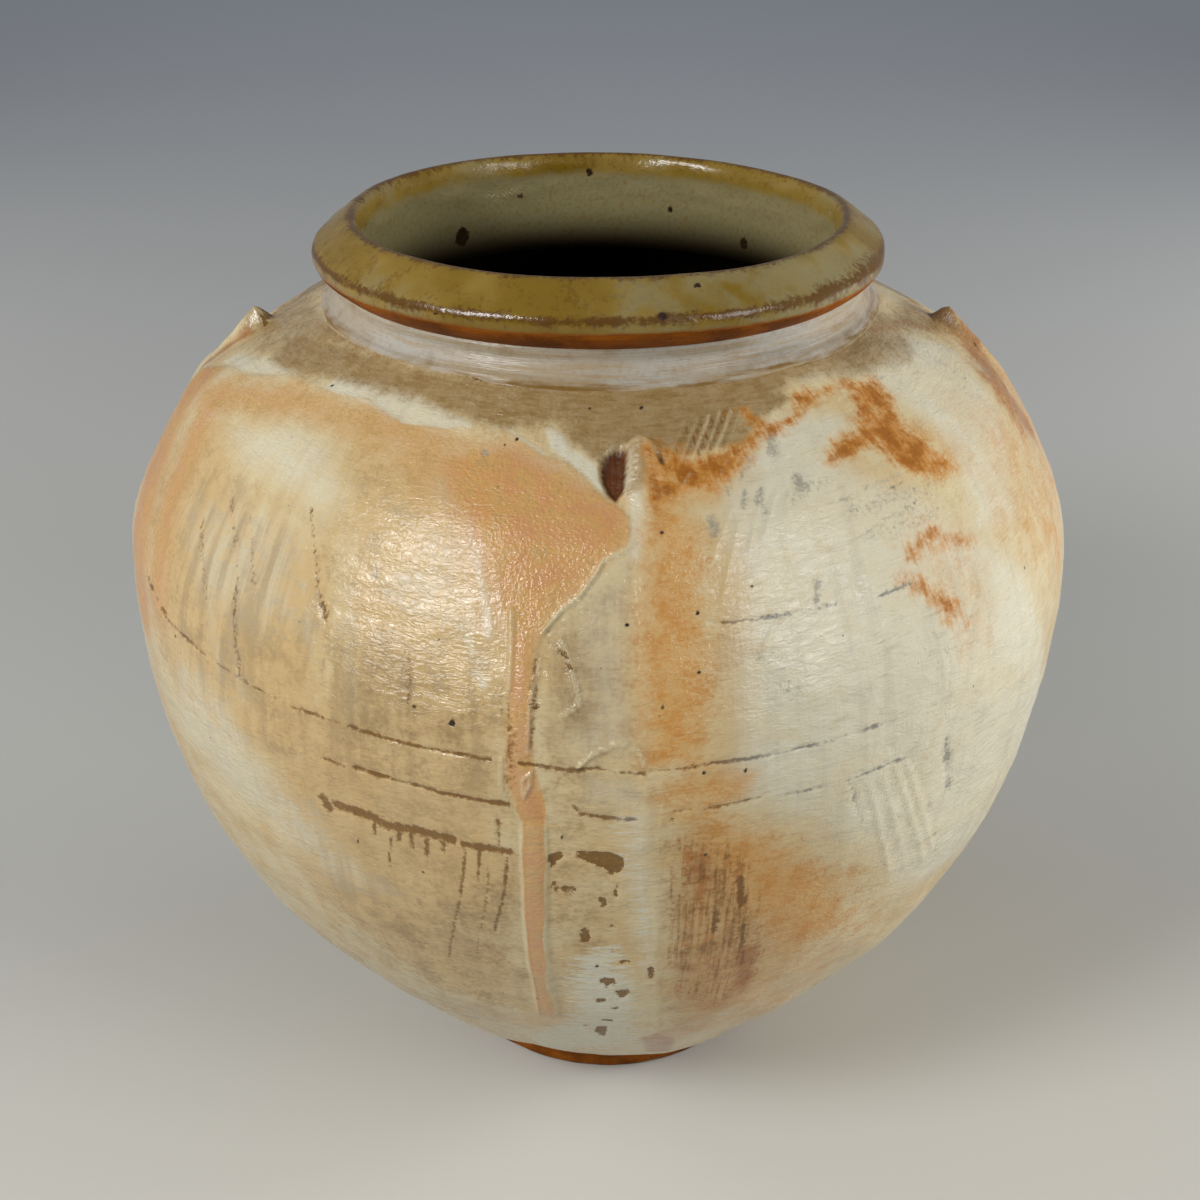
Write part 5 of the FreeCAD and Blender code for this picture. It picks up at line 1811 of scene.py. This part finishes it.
class JAR_OT_neck(bpy.types.Operator):
    """Makes the neck and the white slip that spreads from it over the shoulder"""

    bl_idname = "jar.neck"
    bl_label = "Neck"

    def execute(self, context):
        grid = ThrownWall.get()
        wall = grid.wall
        upright_rows = len(NECK_SECTION)
        rows = upright_rows + SKIRT_ROWS + len(NECK_BACK)
        shape, row, column = rolled_blank(rows, NECK_COLUMNS)
        turn = even_turns(column, NECK_COLUMNS)
        spread = round_the_axis(turn, 75.0, 0.0)
        reach = 4.6 + 0.7 * ripple(spread, 45.0, 31) + 0.2 * ripple(spread, 12.0, 32)
        share = (row - upright_rows + 1) / SKIRT_ROWS
        down = wall.length - 1.6 - reach * np.clip(share, 0, 1)
        lift = grid.glazing.lift(turn, down, grid.glazing.fields(turn, down))
        lift += 0.16 + 0.2 * smooth(1 - share) - 0.4 * smooth((share - 0.72) / 0.28)
        lift += 0.06 * np.sin(down * 2.6 + 0.4 * np.sin(turn * 3)) * (share < 0.9)
        places = wall.place(turn, wall.height_at(down), lift)
        radii, heights = np.array(NECK_SECTION).T
        at = np.minimum(row, upright_rows - 1)
        radius, level = radii[at], heights[at]
        radius = radius + 0.08 * np.sin(level * 7.0) * (at > 0)
        upright = round_the_axis(turn, radius, level, wall.lean(235.0))
        places = np.where((row < upright_rows)[:, None], upright, places)
        for before_end, (radius, level) in enumerate(reversed(NECK_BACK), start=1):
            behind = (row == rows - before_end)[:, None]
            places = np.where(behind, round_the_axis(turn, radius, level), places)
        settle(shape, places)
        edge = {"edge": smooth((share - 0.3) / 0.7)}
        finish_piece(shape, "neck", ["neck_slip"], edge)
        return {"FINISHED"}


class JAR_OT_foot(bpy.types.Operator):
    """Makes the turned foot ring of bare clay"""

    bl_idname = "jar.foot"
    bl_label = "Foot ring"

    def execute(self, context):
        wall = ThrownWall.get().wall
        shape, row, column = rolled_blank(len(FOOT_SECTION), FOOT_COLUMNS)
        turn = even_turns(column, FOOT_COLUMNS)
        radii, heights = np.array(FOOT_SECTION).T
        height = heights[row]
        spread = round_the_axis(turn, 50.0, height)
        radius = radii[row] + 0.12 * ripple(spread, 30.0, 41) + 0.06 * ripple(spread * (1, 1, 3), 8.0, 42)
        settle(shape, round_the_axis(turn, radius, height, wall.lean(4.0)))
        finish_piece(shape, "foot_ring", ["turned_clay"])
        return {"FINISHED"}


class JAR_OT_stage(bpy.types.Operator):
    """Makes the floor, the soft lights and the camera"""

    bl_idname = "jar.stage"
    bl_label = "Stage"

    def execute(self, context):
        stage = stage_settings()
        self.make_floor(context.scene, stage)
        for light in SOFT_LIGHTS:
            self.make_light(context.scene, *light)
        self.make_world(context.scene)
        self.make_camera(context.scene, stage)
        context.scene.view_settings.view_transform = "Standard"
        return {"FINISHED"}

    def make_floor(self, scene, stage):
        shape = bmesh.new()
        bmesh.ops.create_grid(shape, x_segments=8, y_segments=8, size=5.0)
        mesh = bpy.data.meshes.new("floor")
        shape.to_mesh(mesh)
        shape.free()
        mesh.materials.append(new_material("plain_floor", paint_floor, stage))
        floor = bpy.data.objects.new("floor", mesh)
        scene.collection.objects.link(floor)

    def make_light(self, scene, name, turn, rise, away, size, watts):
        turn, rise = math.radians(turn), math.radians(rise)
        data = bpy.data.lights.new(name, "AREA")
        data.shape = "SQUARE"
        data.size = size
        data.energy = watts
        lamp = bpy.data.objects.new(name, data)
        level = math.cos(rise)
        aim = Vector((math.sin(turn) * level, -math.cos(turn) * level, math.sin(rise)))
        lamp.location = Vector((0.0, 0.0, LIGHT_AIM_HEIGHT)) + aim * away
        lamp.rotation_euler = aim.to_track_quat("Z", "Y").to_euler()
        lamp.visible_glossy = not name.endswith("wash")
        scene.collection.objects.link(lamp)

    def make_world(self, scene):
        world = bpy.data.worlds.new("studio")
        world.use_nodes = True
        background = world.node_tree.nodes["Background"]
        background.inputs[0].default_value = WORLD_TONE
        background.inputs[1].default_value = WORLD_STRENGTH
        scene.world = world

    def make_camera(self, scene, stage):
        data = bpy.data.cameras.new("camera")
        data.sensor_width = SENSOR_WIDTH
        data.lens = stage.picture_focus / PICTURE_WIDTH * SENSOR_WIDTH
        camera = bpy.data.objects.new("camera", data)
        camera.location = (0.0, -stage.camera_back, stage.camera_up)
        camera.rotation_euler = (math.pi / 2 - stage.camera_tilt, 0.0, 0.0)
        scene.collection.objects.link(camera)
        scene.camera = camera


class JAR_PT_panel(bpy.types.Panel):
    """Lists the steps of making the jar"""

    bl_idname = "JAR_PT_panel"
    bl_label = "Moon jar"
    bl_space_type = "VIEW_3D"
    bl_region_type = "UI"
    bl_category = "Moon jar"

    def draw(self, context):
        for step in STEPS:
            self.layout.operator(step.bl_idname)
        for group in (context.scene.jar_sizes, context.scene.jar_tones, context.scene.jar_stage):
            box = self.layout.box()
            for name in group.bl_rna.properties.keys():
                if name not in ("rna_type", "name"):
                    box.prop(group, name)


STEPS = (JAR_OT_bowls, JAR_OT_ribs, JAR_OT_neck, JAR_OT_rim, JAR_OT_foot, JAR_OT_stage)
CLASSES = (JarSizes, JarTones, StageSettings) + STEPS + (JAR_PT_panel,)


def register():
    for each in CLASSES:
        bpy.utils.register_class(each)
    bpy.types.Scene.jar_sizes = bpy.props.PointerProperty(type=JarSizes)
    bpy.types.Scene.jar_tones = bpy.props.PointerProperty(type=JarTones)
    bpy.types.Scene.jar_stage = bpy.props.PointerProperty(type=StageSettings)


def unregister():
    del bpy.types.Scene.jar_stage
    del bpy.types.Scene.jar_tones
    del bpy.types.Scene.jar_sizes
    for each in reversed(CLASSES):
        bpy.utils.unregister_class(each)


def main():
    register()
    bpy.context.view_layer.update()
    bpy.ops.jar.bowls()
    bpy.ops.jar.ribs()
    bpy.ops.jar.neck()
    bpy.ops.jar.rim()
    bpy.ops.jar.foot()
    bpy.ops.jar.stage()


if __name__ == "__main__":
    main()
